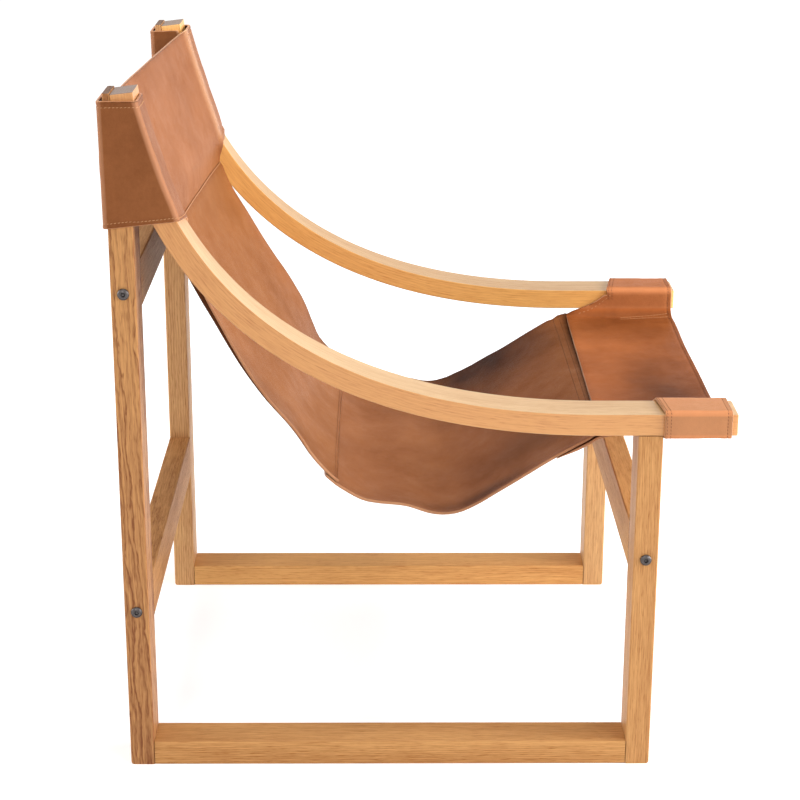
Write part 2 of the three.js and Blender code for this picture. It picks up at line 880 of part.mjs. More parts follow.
// Assembly
const chair = new THREE.Group();
chair.name = "leather_sling_lounge_chair";
chair.position.y = -centreY;

function place(name, solid, material) {
  const piece = new THREE.Mesh(toGeometry(solid), material);
  piece.name = name;
  chair.add(piece);
}

for (const [hand, side] of [
  ["right", -1],
  ["left", 1],
]) {
  const x = side * memberX;
  place(`${hand}_rear_leg`, rearLeg(x), oak);
  place(`${hand}_front_leg`, frontLeg(x), oak);
  place(`${hand}_floor_rail`, floorRail(x), oak);
  place(`${hand}_arm`, arm(x), bentOak);
}

const crossRails = [
  ["rear_upper", rearLegY, upperRailCentre],
  ["rear_lower", rearLegY, lowerRailCentre],
  ["front", frontLegY, frontRailCentre],
];

for (const [name, legY, height] of crossRails) {
  place(`${name}_cross_rail`, crossRail(legY, height), oak);
  for (const [hand, side] of [
    ["right", -1],
    ["left", 1],
  ]) {
    place(`${name}_${hand}_bolt`, bolt(side, legY, height), boltSteel);
    place(`${name}_${hand}_barrel_nut`, barrelNut(side, legY, height), zincSteel);
    place(`${name}_${hand}_top_dowel`, dowel(side, legY, height + dowelSpread), beech);
    place(`${name}_${hand}_low_dowel`, dowel(side, legY, height - dowelSpread), beech);
  }
}

place("head_panel", headPanel(), tanLeather);
place("lower_back_panel", lowerBackPanel(), tanLeather);
place("seat_panel", seatPanel(), tanLeather);
place("front_panel", frontPanel(), tanLeather);

export default chair;
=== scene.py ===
# %% [markdown]
# # A leather sling lounge chair
#
# Two oak side frames carry long bent arms, three cross rails hold the frames apart, and
# a sling of thick tan leather hangs from the tops of the posts and from the ends of the
# arms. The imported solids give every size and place. This lesson keeps the straight
# timbers as they are and gives them real wood, and it rebuilds the arms, the leather, its
# stitches and the bolts more finely than a solid model can.

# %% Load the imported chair
import math

import bpy
import numpy as np
from mathutils import Matrix, Vector, noise
from mathutils.bvhtree import BVHTree


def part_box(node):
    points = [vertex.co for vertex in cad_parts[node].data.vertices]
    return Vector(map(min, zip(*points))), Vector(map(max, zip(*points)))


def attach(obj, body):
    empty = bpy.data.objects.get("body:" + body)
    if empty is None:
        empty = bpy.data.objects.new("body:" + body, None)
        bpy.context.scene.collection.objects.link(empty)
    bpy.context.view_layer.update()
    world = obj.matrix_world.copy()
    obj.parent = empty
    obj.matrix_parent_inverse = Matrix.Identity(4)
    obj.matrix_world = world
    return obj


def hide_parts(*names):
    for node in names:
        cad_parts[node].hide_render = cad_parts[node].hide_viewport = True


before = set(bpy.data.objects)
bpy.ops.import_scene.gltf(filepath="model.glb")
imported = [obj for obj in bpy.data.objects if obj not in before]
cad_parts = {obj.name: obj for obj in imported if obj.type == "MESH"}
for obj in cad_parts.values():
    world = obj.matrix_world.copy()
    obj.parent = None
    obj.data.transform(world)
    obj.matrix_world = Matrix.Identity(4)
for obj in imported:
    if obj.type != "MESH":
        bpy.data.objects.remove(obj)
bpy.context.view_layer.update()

# %% [markdown]
# ## The camera
#
# The chair was pictured from its right side with a long lens, from a little above. A
# camera is only a place, a direction and a lens, so its three axes are written as the
# columns of a matrix. A Track To constraint could aim it too, but the numbers also keep
# the small roll that the fit to the picture found.

# %% Camera at the picture's angle
camera_place = Vector((-2.56605, 0.05164, 1.23767))
camera_pitch = 0.321422
camera_yaw = -0.0091635
camera_roll = 0.0026837
camera_lens = 90.0
camera_film = 36.0


def camera_axes(pitch, yaw, roll):
    ahead = Vector(
        (
            math.cos(pitch) * math.cos(yaw),
            math.cos(pitch) * math.sin(yaw),
            -math.sin(pitch),
        )
    )
    level = ahead.cross(Vector((0, 0, 1))).normalized()
    upright = level.cross(ahead)
    right = math.cos(roll) * level + math.sin(roll) * upright
    up = math.cos(roll) * upright - math.sin(roll) * level
    return Matrix((right, up, -ahead)).transposed()


camera_data = bpy.data.cameras.new("photo_camera")
camera_data.lens = camera_lens
camera_data.sensor_width = camera_film
camera_data.clip_end = 100
camera = bpy.data.objects.new("photo_camera", camera_data)
camera.matrix_world = (
    Matrix.Translation(camera_place)
    @ camera_axes(camera_pitch, camera_yaw, camera_roll).to_4x4()
)
bpy.context.scene.collection.objects.link(camera)
bpy.context.scene.camera = camera
bpy.context.scene.view_settings.view_transform = "Standard"
print("camera looks from", [round(v, 3) for v in camera_place])

# %% [markdown]
# ## Small helpers for node trees
#
# Every material here is a tree of nodes. One helper places a node and fills its inputs,
# either with a value or with a link from another node, so that each tree below reads like
# a list of steps.


# %% Place a node and wire its inputs
def feed(tree, socket, value):
    """Links a socket to another node's output, or gives it a plain value."""
    if isinstance(value, bpy.types.NodeSocket):
        tree.links.new(value, socket)
    else:
        socket.default_value = value


def fill(tree, node, inputs):
    for key, value in inputs.items():
        feed(tree, node.inputs[key], value)


def put(tree, kind, inputs=None, **settings):
    node = tree.nodes.new(kind)
    for name, value in settings.items():
        setattr(node, name, value)
    fill(tree, node, inputs or {})
    return node


def math_node(tree, operation, a, b=0.0, c=0.0, clamp=False):
    made = put(tree, "ShaderNodeMath", operation=operation, use_clamp=clamp)
    for socket, value in zip(made.inputs, (a, b, c)):
        feed(tree, socket, value)
    return made.outputs[0]


def vector_node(tree, operation, a, b=(0, 0, 0), scale=None):
    """The scale is given only for the operation that has one."""
    made = put(tree, "ShaderNodeVectorMath", operation=operation)
    for socket, value in zip(made.inputs, (a, b)):
        feed(tree, socket, value)
    if scale is not None:
        feed(tree, made.inputs["Scale"], scale)
    return made.outputs


def mix_colour(tree, factor, a, b):
    made = put(tree, "ShaderNodeMix", {0: factor}, data_type="RGBA")
    for socket, value in zip((s for s in made.inputs if s.type == "RGBA"), (a, b)):
        feed(tree, socket, value)
    return next(s for s in made.outputs if s.type == "RGBA")


def split_vector(tree, vector):
    return put(tree, "ShaderNodeSeparateXYZ", {"Vector": vector}).outputs


def join_vector(tree, **parts):
    return put(tree, "ShaderNodeCombineXYZ", parts).outputs[0]


def object_place(tree):
    return put(tree, "ShaderNodeTexCoord").outputs["Object"]


def mapped(tree, value, source, target):
    """A value's place between two numbers, carried over to two others."""
    ends = {"From Min": source[0], "From Max": source[1], "To Min": target[0], "To Max": target[1]}
    return put(tree, "ShaderNodeMapRange", {"Value": value, **ends}).outputs[0]


def painted_value(tree, name):
    """A number that the mesh holds for each of its points."""
    return put(tree, "ShaderNodeAttribute", attribute_name=name).outputs["Fac"]


def bumped(tree, height, distance, strength):
    made = put(
        tree,
        "ShaderNodeBump",
        {"Height": height, "Distance": distance, "Strength": strength},
    )
    return made.outputs[0]


def ramp(tree, factor, stops):
    made = put(tree, "ShaderNodeValToRGB", {"Fac": factor})
    points = made.color_ramp.elements
    while len(points) < len(stops):
        points.new(1.0)
    for point, (at, value) in zip(points, stops):
        point.position = at
        point.color = (value, value, value, 1)
    return made.outputs["Color"]


def linear(red, green, blue):
    """The linear colour of a display colour that is written from 0 to 255."""
    parts = [v / 255 for v in (red, green, blue)]
    bent = [v / 12.92 if v <= 0.04045 else ((v + 0.055) / 1.055) ** 2.4 for v in parts]
    return (*bent, 1.0)


def new_group(name, inputs, outputs):
    group = bpy.data.node_groups.new(name, "ShaderNodeTree")
    kinds = {"v": "NodeSocketVector", "f": "NodeSocketFloat", "c": "NodeSocketColor"}
    for way, sockets in (("INPUT", inputs), ("OUTPUT", outputs)):
        for label, kind in sockets:
            group.interface.new_socket(label, in_out=way, socket_type=kinds[kind])
    return (
        group,
        group.nodes.new("NodeGroupInput").outputs,
        group.nodes.new("NodeGroupOutput").inputs,
    )


def new_material(name, **shader_values):
    material = bpy.data.materials.new(name)
    material.use_nodes = True
    tree = material.node_tree
    shader = tree.nodes["Principled BSDF"]
    for key, value in shader_values.items():
        socket = key.replace("_", " ").title().replace("Ior", "IOR")
        shader.inputs[socket].default_value = value
    return material, tree, shader


def add_object(name, data):
    made = bpy.data.objects.new(name, data)
    bpy.context.scene.collection.objects.link(made)
    return made


def store(mesh, name, values):
    """Keeps one number or one vector for each point of a mesh."""
    kind, field = ("FLOAT_VECTOR", "vector") if np.ndim(values) == 2 else ("FLOAT", "value")
    layer = mesh.attributes.new(name, kind, "POINT")
    layer.data.foreach_set(field, np.asarray(values, np.float32).ravel())


def give_finish(piece, finish):
    piece.data.materials.clear()
    piece.data.materials.append(finish)


print("helpers ready")

# %% [markdown]
# ## Oak
#
# A real board is a slice of a trunk, so its figure is best made the same way: rings round
# a pith line that runs beside the board. Every face of the board then cuts the same
# rings, with stripes along the sides and arcs on the sawn ends, and no pattern has to be
# matched at an edge. The group below takes a place in the trunk, with Z along the grain,
# and gives the colour, the roughness and the height of the wood there.

# %% Shader group: oak rings, fibres and pores
oak_group, oak_in, oak_out = new_group(
    "oak_figure",
    [
        ("Place", "v"),
        ("Ring Width", "f"),
        ("Pale", "c"),
        ("Dark", "c"),
        ("Wander", "f"),
        ("Figure", "f"),
        ("Contrast", "f"),
        ("End Grain", "f"),
    ],
    [("Color", "c"), ("Roughness", "f"), ("Height", "f")],
)


def stretched_noise(tree, place, stretch, detail, colour=False, rough=0.5):
    """Noise that is drawn out along an axis where the stretch is small."""
    spread = vector_node(tree, "MULTIPLY", place, stretch)[0]
    made = put(
        tree,
        "ShaderNodeTexNoise",
        {"Vector": spread, "Scale": 1.0, "Detail": detail, "Roughness": rough},
    )
    return made.outputs["Color" if colour else "Fac"]


def build_oak():
    t = oak_group
    place = oak_in["Place"]
    slow = stretched_noise(t, place, (5, 5, 1.9), 1.5, True)
    quick = stretched_noise(t, place, (60, 60, 16), 3, True, 0.6)
    bent = place
    for wobble, size in ((slow, "Wander"), (quick, "Figure")):
        wobble = vector_node(t, "SUBTRACT", wobble, (0.5, 0.5, 0.5))[0]
        wobble = vector_node(t, "SCALE", wobble, scale=oak_in[size])[0]
        bent = vector_node(t, "ADD", bent, wobble)[0]
    flat = vector_node(t, "MULTIPLY", bent, (1, 1, 0))[0]
    radius = vector_node(t, "LENGTH", flat)["Value"]
    rings = math_node(t, "DIVIDE", radius, oak_in["Ring Width"])
    share = math_node(t, "FRACT", rings)
    band = ramp(
        t,
        share,
        [(0, 0.6), (0.12, 0.85), (0.32, 0.45), (0.6, 0.2), (0.85, 0.3), (1, 0.6)],
    )
    year = math_node(t, "FLOOR", rings)
    years = put(t, "ShaderNodeTexWhiteNoise", {"W": year}, noise_dimensions="1D")
    strength = math_node(t, "MULTIPLY_ADD", years.outputs["Value"], 0.6, 0.5)
    band = math_node(t, "MULTIPLY", band, strength)
    fibre = stretched_noise(t, place, (560, 560, 26), 4, rough=0.65)
    fibre = math_node(t, "SUBTRACT", fibre, 0.5)
    broad = stretched_noise(t, place, (16, 16, 1.4), 2)
    broad = math_node(t, "SUBTRACT", broad, 0.5)
    pores = stretched_noise(t, place, (1100, 1100, 70), 1)
    pores = ramp(t, pores, [(0, 0), (0.55, 0), (0.66, 1)])
    pores = math_node(t, "MULTIPLY", pores, math_node(t, "ADD", band, 0.25))
    tone = math_node(t, "MULTIPLY", band, oak_in["Contrast"])
    tone = math_node(t, "MULTIPLY_ADD", fibre, 1.5, tone)
    tone = math_node(t, "MULTIPLY_ADD", broad, 1.1, tone)
    tone = math_node(t, "MULTIPLY_ADD", pores, 0.45, tone)
    tone = math_node(t, "ADD", tone, 0.12, clamp=True)
    wood = mix_colour(t, tone, oak_in["Pale"], oak_in["Dark"])
    sawn = math_node(t, "MULTIPLY", oak_in["End Grain"], 0.9)
    wood = mix_colour(t, sawn, wood, linear(74, 46, 28))
    t.links.new(wood, oak_out["Color"])
    t.links.new(math_node(t, "MULTIPLY_ADD", tone, 0.16, 0.4), oak_out["Roughness"])
    height = math_node(t, "MULTIPLY_ADD", fibre, 0.35, math_node(t, "MULTIPLY", pores, -0.8))
    t.links.new(height, oak_out["Height"])


build_oak()
print("oak group holds", len(oak_group.nodes), "nodes")

# %% [markdown]
# Timbers are cut from different boards, so each gets its own material with its own place
# in the trunk and its own tone. A Mapping node turns the member's length to the trunk's
# axis. The near rear post shows the liveliest figure, the arms the calmest.

# %% Oak for the straight timbers
quarter = math.pi / 2
turn_to_grain = {"x": (0, -quarter, 0), "y": (quarter, 0, 0), "z": (0, 0, 0)}
# Index of refraction, which sets how much of the white room a board mirrors
oak_gloss = {"x": 1.1, "y": 1.12, "z": 1.25}

honey = (linear(227, 172, 108), linear(180, 116, 64))
amber = (linear(211, 158, 100), linear(156, 99, 54))
russet = (linear(202, 147, 92), linear(130, 78, 46))
dusky = (linear(222, 173, 118), linear(165, 108, 66))


def oak_material(name, axis, pith, tones, ring, wander=0.03, figure=0.004, contrast=0.5, lean=0.0):
    """Oak for a straight member along one axis. A lean tilts its grain a little."""
    material, tree, shader = new_material(name, ior=oak_gloss[axis])
    turned = put(
        tree,
        "ShaderNodeMapping",
        {"Vector": object_place(tree), "Rotation": turn_to_grain[axis], "Location": pith},
    )
    leaned = put(
        tree,
        "ShaderNodeMapping",
        {"Vector": turned.outputs[0], "Rotation": (lean, lean * 0.6, 0)},
    )
    along_grain = face_direction(tree, axis.upper())
    sawn = math_node(tree, "GREATER_THAN", math_node(tree, "ABSOLUTE", along_grain), 0.95)
    finish_oak(tree, shader, leaned.outputs[0], sawn, tones, ring, wander, figure, contrast)
    return material


def face_direction(tree, axis):
    """How much a face looks along one axis, from -1 to 1."""
    normal = put(tree, "ShaderNodeNewGeometry").outputs["True Normal"]
    return split_vector(tree, normal)[axis]


def finish_oak(tree, shader, place, sawn, tones, ring, wander, figure, contrast, top_light_tint=None):
    """The oak group on a shader. A top tint paints light or shade onto the faces that look up."""
    wood = put(
        tree,
        "ShaderNodeGroup",
        {
            "Place": place,
            "End Grain": sawn,
            "Ring Width": ring,
            "Pale": tones[0],
            "Dark": tones[1],
            "Wander": wander,
            "Figure": figure,
            "Contrast": contrast,
        },
        node_tree=oak_group,
    )
    colour = wood.outputs["Color"]
    # Painted light: the tint lightens or darkens the faces that look up, as light from above falls on
    # them
    if top_light_tint:
        upward = face_direction(tree, "Z")
        upward = math_node(tree, "MULTIPLY_ADD", upward, 4.0, -1.4, clamp=True)
        upward = math_node(tree, "SUBTRACT", upward, sawn, clamp=True)
        top_light_colour = vector_node(tree, "MULTIPLY", colour, top_light_tint)[0]
        colour = mix_colour(tree, upward, colour, top_light_colour)
    surface = {
        "Base Color": colour,
        "Roughness": wood.outputs["Roughness"],
        "Normal": bumped(tree, wood.outputs["Height"], 0.0003, 0.5),
    }
    fill(tree, shader, surface)


# Axis, pith, tones, ring width, wander, figure, contrast and lean of each straight timber
timbers = {
    "right_rear_leg": ("z", (0.26, -0.30, 0), russet, 0.0050, 0.05, 0.016, 0.95, 0.02),
    "left_rear_leg": ("z", (-0.31, -0.42, 0.7), dusky, 0.0032, 0.03, 0.008, 0.6, 0.01),
    "right_front_leg": ("z", (0.33, 0.36, 0.2), amber, 0.0026, 0.02, 0.004, 0.35, 0.01),
    "left_front_leg": ("z", (-0.21, 0.19, 0.9), dusky, 0.0030, 0.03, 0.004, 0.35, 0.0),
    "right_floor_rail": ("y", (0.33, 0.05, 0.3), amber, 0.0026, 0.02, 0.005, 0.45, 0.01),
    "left_floor_rail": ("y", (-0.23, 0.06, 0.8), honey, 0.0028, 0.02, 0.004, 0.4, 0.0),
    "rear_upper_cross_rail": ("x", (-0.55, -0.40, 0.1), amber, 0.0030, 0.02, 0.006, 0.5, 0.0),
    "rear_lower_cross_rail": ("x", (-0.14, -0.27, 0.6), russet, 0.0036, 0.03, 0.006, 0.5, 0.01),
    "front_cross_rail": ("x", (-0.21, 0.36, 1.1), honey, 0.0030, 0.02, 0.008, 0.5, 0.0),
}

for node, character in timbers.items():
    wood = oak_material(f"{node}_oak", *character)
    give_finish(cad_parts[node], wood)
print("timbers finished", len(timbers))

# %% [markdown]
# ## Sizes that the new pieces share
#
# A piece that replaces a solid stays where the solid is, so its sizes are read from the
# boxes of the solids where a box holds them. The others are written out in metres, here
# and in the cells that use them.

# %% Sizes of the frame and the leather
mm = 0.001
post_low, post_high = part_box("right_rear_leg")
foreleg_low, foreleg_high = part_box("right_front_leg")
arm_low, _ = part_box("right_arm")

rear_y = post_high.y
front_y = foreleg_low.y
outer_x = -post_low.x
inner_x = -post_high.x
post_height = post_high.z
peg_end_y = arm_low.y
arm_underside = arm_low.z

member_width = outer_x - inner_x
arm_middle = inner_x + member_width / 2
arm_thickness = 27 * mm
arm_axis = arm_underside + arm_thickness / 2
straight_run = 164.5 * mm
low_handle = 370 * mm
high_handle = 216 * mm
top_lean = math.radians(6.9)
scarf_tip = 8 * mm
eased_edge, glued_edge = 1.6 * mm, 0.5 * mm
arm_edges = (eased_edge, eased_edge, glued_edge, glued_edge)

leather = 3.5 * mm
timber_gap = 0.3 * mm
lap_step = leather + 0.7 * mm
sheet_lap = 16 * mm
sheet_half = inner_x - 2 * mm
print("width", round(2 * outer_x, 4), "post", round(post_height, 4))

# %% [markdown]
# ## The bent arms
#
# Each arm is a stack of thin laminations, glued in a bent mould and then planed. Its
# centre line is straight over the front leg and then one long curve up to the top of the
# post. Geometry Nodes sweep a rounded section along that line. A sweep also knows how far
# along it is, so it can write the wood's own coordinates on the surface, and the grain
# then follows the bend as it does in bent wood.

# %% Centre line of the arm
bend_start = np.array([peg_end_y + straight_run, arm_axis])
bend_end = np.array([rear_y - scarf_tip - arm_thickness / 2, post_height])
bend_handles = [
    bend_start,
    bend_start + [low_handle, 0],
    bend_end - high_handle * np.array([math.sin(top_lean), math.cos(top_lean)]),
    bend_end,
]


def bend_point(t):
    weights = [(1 - t) ** 3, 3 * t * (1 - t) ** 2, 3 * t * t * (1 - t), t**3]
    return sum(np.multiply.outer(w, p) for w, p in zip(weights, bend_handles))


bend_fine = bend_point(np.linspace(0, 1, 800))
bend_slopes = np.gradient(bend_fine, axis=0)
bend_slopes /= np.linalg.norm(bend_slopes, axis=1)[:, None]
arm_front_line = bend_fine + np.stack([-bend_slopes[:, 1], bend_slopes[:, 0]], 1) * (
    arm_thickness / 2
)


def arm_front_at(height):
    return np.interp(height, arm_front_line[:, 1], arm_front_line[:, 0])


front_end_steps = [(0, 0.93), (0.25, 0.955), (0.8, 0.985), (2.0, 1.0)]
top_end_steps = [(0, 0.985), (0.3, 0.995), (0.8, 1.0)]
bend_reach = np.concatenate(
    [[0], np.cumsum(np.linalg.norm(np.diff(bend_fine, axis=0), axis=1))]
)


def arm_line():
    """Points of the centre line and, for each, how far the section is drawn in there."""
    rows = [([peg_end_y + at * mm, arm_axis], ease) for at, ease in front_end_steps]
    rows += [([y, arm_axis], 1.0) for y in np.linspace(peg_end_y + 8 * mm, bend_start[0], 9)]
    total = bend_reach[-1]
    marks = list(np.linspace(0, total, 90)[1:-1])
    for mark in marks:
        rows.append((bend_fine[np.searchsorted(bend_reach, mark)], 1.0))
    for at, ease in reversed(top_end_steps):
        point = [np.interp(total - at * mm, bend_reach, bend_fine[:, k]) for k in (0, 1)]
        rows.append((point, ease))
    return rows


print("arm bend is", round(bend_reach[-1], 4), "long")


# %% Profile and line as plain edge meshes
def edge_mesh(name, points, closed=False, **attributes):
    count = len(points)
    edges = [(i, (i + 1) % count) for i in range(count if closed else count - 1)]
    mesh = bpy.data.meshes.new(name)
    mesh.from_pydata([tuple(map(float, p)) for p in points], edges, [])
    for key, values in attributes.items():
        store(mesh, key, values)
    return add_object(name, mesh)


def section_points(width, thickness, radii, steps=4, shoulder=1.5 * mm):
    """A rounded rectangle with one more point beside each corner, which keeps flats flat."""
    points = []
    for k, (sx, sy) in enumerate(((1, 1), (-1, 1), (-1, -1), (1, -1))):
        radius = radii[k]
        middle = np.array([sx * (width / 2 - radius), sy * (thickness / 2 - radius)])
        start = k * quarter
        arc = [
            middle + radius * np.array([math.cos(a), math.sin(a)])
            for a in np.linspace(start, start + quarter, steps + 1)
        ]
        before = arc[0] - shoulder * np.array([-math.sin(start), math.cos(start)])
        end = start + quarter
        after = arc[-1] + shoulder * np.array([-math.sin(end), math.cos(end)])
        points += [before, *arc, after]
    return [(p[0], p[1], 0) for p in points]


# %% Geometry Nodes tree: sweep a section along a line
def new_tree(name, sockets):
    tree = bpy.data.node_groups.new(name, "GeometryNodeTree")
    tree.interface.new_socket("Geometry", in_out="INPUT", socket_type="NodeSocketGeometry")
    for label, kind, value in sockets:
        made = tree.interface.new_socket(label, in_out="INPUT", socket_type="NodeSocket" + kind)
        if value is not None:
            made.default_value = value
    tree.interface.new_socket("Geometry", in_out="OUTPUT", socket_type="NodeSocketGeometry")
    return (
        tree,
        tree.nodes.new("NodeGroupInput").outputs,
        tree.nodes.new("NodeGroupOutput").inputs,
    )


def run_tree(target, tree, **values):
    """Adds the tree as a modifier, sets its named inputs and keeps the plain mesh."""
    modifier = target.modifiers.new(tree.name, "NODES")
    modifier.node_group = tree
    for item in tree.interface.items_tree:
        if item.item_type == "SOCKET" and item.in_out == "INPUT":
            key = item.name.lower().replace(" ", "_")
            if key in values:
                modifier[item.identifier] = values[key]
    bpy.context.view_layer.update()
    ready = target.evaluated_get(bpy.context.evaluated_depsgraph_get())
    mesh = bpy.data.meshes.new_from_object(ready)
    target.modifiers.clear()
    target.data = mesh
    return target


def sweep_tree():
    tree, given, result = new_tree(
        "bent_lamination",
        [
            ("Section", "Object", None),
            ("Middle", "Float", 0.0),
            ("Wood", "Material", None),
        ],
    )
    line = put(tree, "GeometryNodeMeshToCurve", {"Mesh": given["Geometry"]})
    ease = put(tree, "GeometryNodeInputNamedAttribute", {"Name": "ease"}, data_type="FLOAT")
    along = put(tree, "GeometryNodeSplineParameter")
    line = put(
        tree,
        "GeometryNodeStoreNamedAttribute",
        {"Geometry": line.outputs[0], "Name": "along", "Value": along.outputs["Length"]},
        data_type="FLOAT",
        domain="POINT",
    )
    section = put(tree, "GeometryNodeObjectInfo", {"Object": given["Section"]})
    section = put(tree, "GeometryNodeMeshToCurve", {"Mesh": section.outputs["Geometry"]})
    place = put(tree, "GeometryNodeInputPosition")
    section = put(
        tree,
        "GeometryNodeStoreNamedAttribute",
        {"Geometry": section.outputs[0], "Name": "across", "Value": place.outputs[0]},
        data_type="FLOAT_VECTOR",
        domain="POINT",
    )
    swept = put(
        tree,
        "GeometryNodeCurveToMesh",
        {
            "Curve": line.outputs[0],
            "Profile Curve": section.outputs[0],
            "Scale": ease.outputs["Attribute"],
            "Fill Caps": True,
        },
    )
    shifted = put(
        tree,
        "GeometryNodeTransform",
        {"Geometry": swept.outputs[0], "Translation": join_vector(tree, X=given["Middle"])},
    )
    smooth = put(tree, "GeometryNodeSetShadeSmooth", {"Geometry": shifted.outputs[0]})
    painted = put(
        tree,
        "GeometryNodeSetMaterial",
        {"Geometry": smooth.outputs[0], "Material": given["Wood"]},
    )
    tree.links.new(painted.outputs[0], result["Geometry"])
    return tree


lamination_tree = sweep_tree()
print("sweep tree holds", len(lamination_tree.nodes), "nodes")


# %% Oak that follows the bend
arm_length = straight_run + bend_reach[-1]


def arm_material(name, shift, tones, contrast, top_light_tint):
    material, tree, shader = new_material(name, ior=1.45, coat_weight=0.35, coat_roughness=0.3)
    across = put(tree, "ShaderNodeAttribute", attribute_name="across").outputs["Vector"]
    along = painted_value(tree, "along")
    parts = split_vector(tree, across)
    place = join_vector(tree, X=parts["X"], Y=parts["Y"], Z=along)
    moved = vector_node(tree, "ADD", place, shift)[0]
    top = math_node(tree, "GREATER_THAN", along, arm_length - 0.25 * mm)
    finish_oak(tree, shader, moved, top, tones, 0.0034, 0.012, 0.003, contrast, top_light_tint)
    return material


arm_tones = {
    "right": (linear(207, 147, 87), linear(170, 104, 52)),
    "left": (linear(238, 182, 104), linear(200, 132, 62)),
}
# Painted light: the near arm's upward faces are painted paler, as sheen and light from above, and the
# far arm's are painted darker, as shade
arm_top_light_tints = {"right": (0.92, 1.25, 1.75), "left": (0.62, 0.69, 0.96)}
arm_section = edge_mesh(
    "arm_section", section_points(member_width, arm_thickness, arm_edges), closed=True
)
arm_rows = arm_line()
arms = {}
for hand, side, shift in (("right", -1, (0.02, 0.9, 0.1)), ("left", 1, (0.25, 0.7, 1.3))):
    wood = arm_material(f"{hand}_arm_oak", shift, arm_tones[hand], 0.3, arm_top_light_tints[hand])
    piece = edge_mesh(
        f"{hand}_bent_arm",
        [(0, p[0], p[1]) for p, _ in arm_rows],
        ease=[e for _, e in arm_rows],
    )
    middle = side * arm_middle
    run_tree(piece, lamination_tree, section=arm_section, middle=middle, wood=wood)
    for face in piece.data.polygons:
        face.use_smooth = len(face.vertices) <= 4
    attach(piece, "root")
    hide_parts(f"{hand}_arm")
    arms[hand] = piece
    co = np.array([v.co for v in piece.data.vertices])
    print(piece.name, len(piece.data.polygons), co.min(0).round(4), co.max(0).round(4))
bpy.data.objects.remove(arm_section)


# %% [markdown]
# ## How the sling hangs
#
# The sling is sewn from four panels of leather. From the side, its edge is one long line:
# level at the front, down into the seat, and steeply up to the posts, where it follows
# the arm. Between its two edges the leather hangs back a little. So a place on the sling
# needs two numbers, the reach along the edge line and the distance across, and one
# function turns them into a point in space. The seat, both back panels and their stitches
# use it, so they stay on each other, and the front panel's flap uses it too.

# %% The edge line of the sling
leg_tenon = 15 * mm
panel_height = foreleg_high.z - leg_tenon - 9.5 * mm
seam_behind_front = 68.5 * mm
front_seam_y = front_y + seam_behind_front
head_seam_y = rear_y - 87.5 * mm
seat_low = 320.5 * mm
head_seam_height = 658 * mm
sleeve_top = 843 * mm
sleeve_front = 703 * mm
sleeve_rear = 694 * mm
sleeve_ease = 0.5 * mm
followed_hollow = 0.25
back_seam_share = 0.64

# Shares of the run from the front seam to the head seam, and of the rise over that run
sling_shares = [
    (0.011, 0.305), (0.038, 0.279), (0.069, 0.253), (0.128, 0.201), (0.195, 0.136),
    (0.254, 0.08), (0.31, 0.028), (0.359, -0.002), (0.413, -0.003), (0.477, 0.027),
    (0.541, 0.04), (0.591, 0.064), (0.63, 0.119), (0.668, 0.171), (0.701, 0.23),
    (0.728, 0.295), (0.758, 0.357), (0.808, 0.447), (0.852, 0.543), (0.89, 0.644),
    (0.928, 0.755), (0.97, 0.873), (0.991, 0.947), (1, 1),
]


def smooth_step(value, low, high):
    t = np.clip((value - low) / (high - low), 0, 1)
    return t * t * (3 - 2 * t)


def smooth_line(points, samples=120):
    """A smooth line that passes through every point, closely sampled."""
    p = np.array(points, float)
    p = np.vstack([p[:1], p, p[-1:]])
    t = np.linspace(0, 1, samples, endpoint=False)[:, None]
    out = []
    for a, b, c, d in zip(p, p[1:], p[2:], p[3:]):
        u, v = (c - a) / 2, (d - b) / 2
        out.append((2 * b - 2 * c + u + v) * t**3 + (3 * c - 3 * b - 2 * u - v) * t**2 + u * t + b)
    return np.vstack([*out, p[-1:]])


def taut_front_at(height):
    """The sleeve spans most of the hollow in the arm's curve instead of following it."""
    low, high = arm_front_at(sleeve_front), arm_front_at(sleeve_top)
    share = (height - sleeve_front) / (sleeve_top - sleeve_front)
    chord = low + share * (high - low)
    return followed_hollow * arm_front_at(height) + (1 - followed_hollow) * chord


edge_points = [
    (front_seam_y - sheet_lap, panel_height - lap_step),
    (front_seam_y - sheet_lap / 2, panel_height - lap_step),
]
edge_points += [
    (
        front_seam_y + run * (head_seam_y - front_seam_y),
        seat_low + rise * (head_seam_height - seat_low),
    )
    for run, rise in sling_shares
]
edge_points += [
    (taut_front_at(z) - sleeve_ease - leather / 2, z)
    for z in np.linspace(sleeve_front, sleeve_top, 4)
]
edge_line = smooth_line(edge_points)
edge_reach = np.concatenate(
    [[0], np.cumsum(np.linalg.norm(np.diff(edge_line, axis=0), axis=1))]
)
sling_length = edge_reach[-1]
edge_slope = np.gradient(edge_line, edge_reach, axis=0)
edge_slope /= np.linalg.norm(edge_slope, axis=1)[:, None]


def reach_where(test):
    return edge_reach[np.argmax(test)]


reach_front_seam = sheet_lap
reach_back_seam = reach_where(
    edge_line[:, 0] > front_seam_y + back_seam_share * (head_seam_y - front_seam_y)
)
reach_head_seam = reach_where(edge_line[:, 1] > head_seam_height)
reach_sleeve = reach_where(edge_line[:, 1] > sleeve_front)
print("sling length", round(sling_length, 4), "back seam at", round(reach_back_seam, 4))

# %% A place on the sling
# How far the leather hangs back between its edges, and how much more of it on the near
# side, at marks along the reach
slack_marks = [0, reach_front_seam, reach_back_seam, reach_head_seam, sling_length]
slack_depths = np.array([7, 7, 7, 18.5, 22]) * mm
slack_leans = [0.5, 0.5, 0.5, 0.88, 0.95]
tuck_depth, tuck_run = 6 * mm, 20 * mm

# The far edge is lifted where the front seam ends: how much, where and how far inwards
seam_lift, lift_width = 7 * mm, 22 * mm
lift_begins, lift_ends = (4 * mm, 14 * mm), (20 * mm, 34 * mm)

# The near edge sags under the arm: how much, where and how far inwards
edge_sag, sag_width = 5.5 * mm, 60 * mm
sag_begins, sag_ends = (300 * mm, 380 * mm), (640 * mm, 720 * mm)

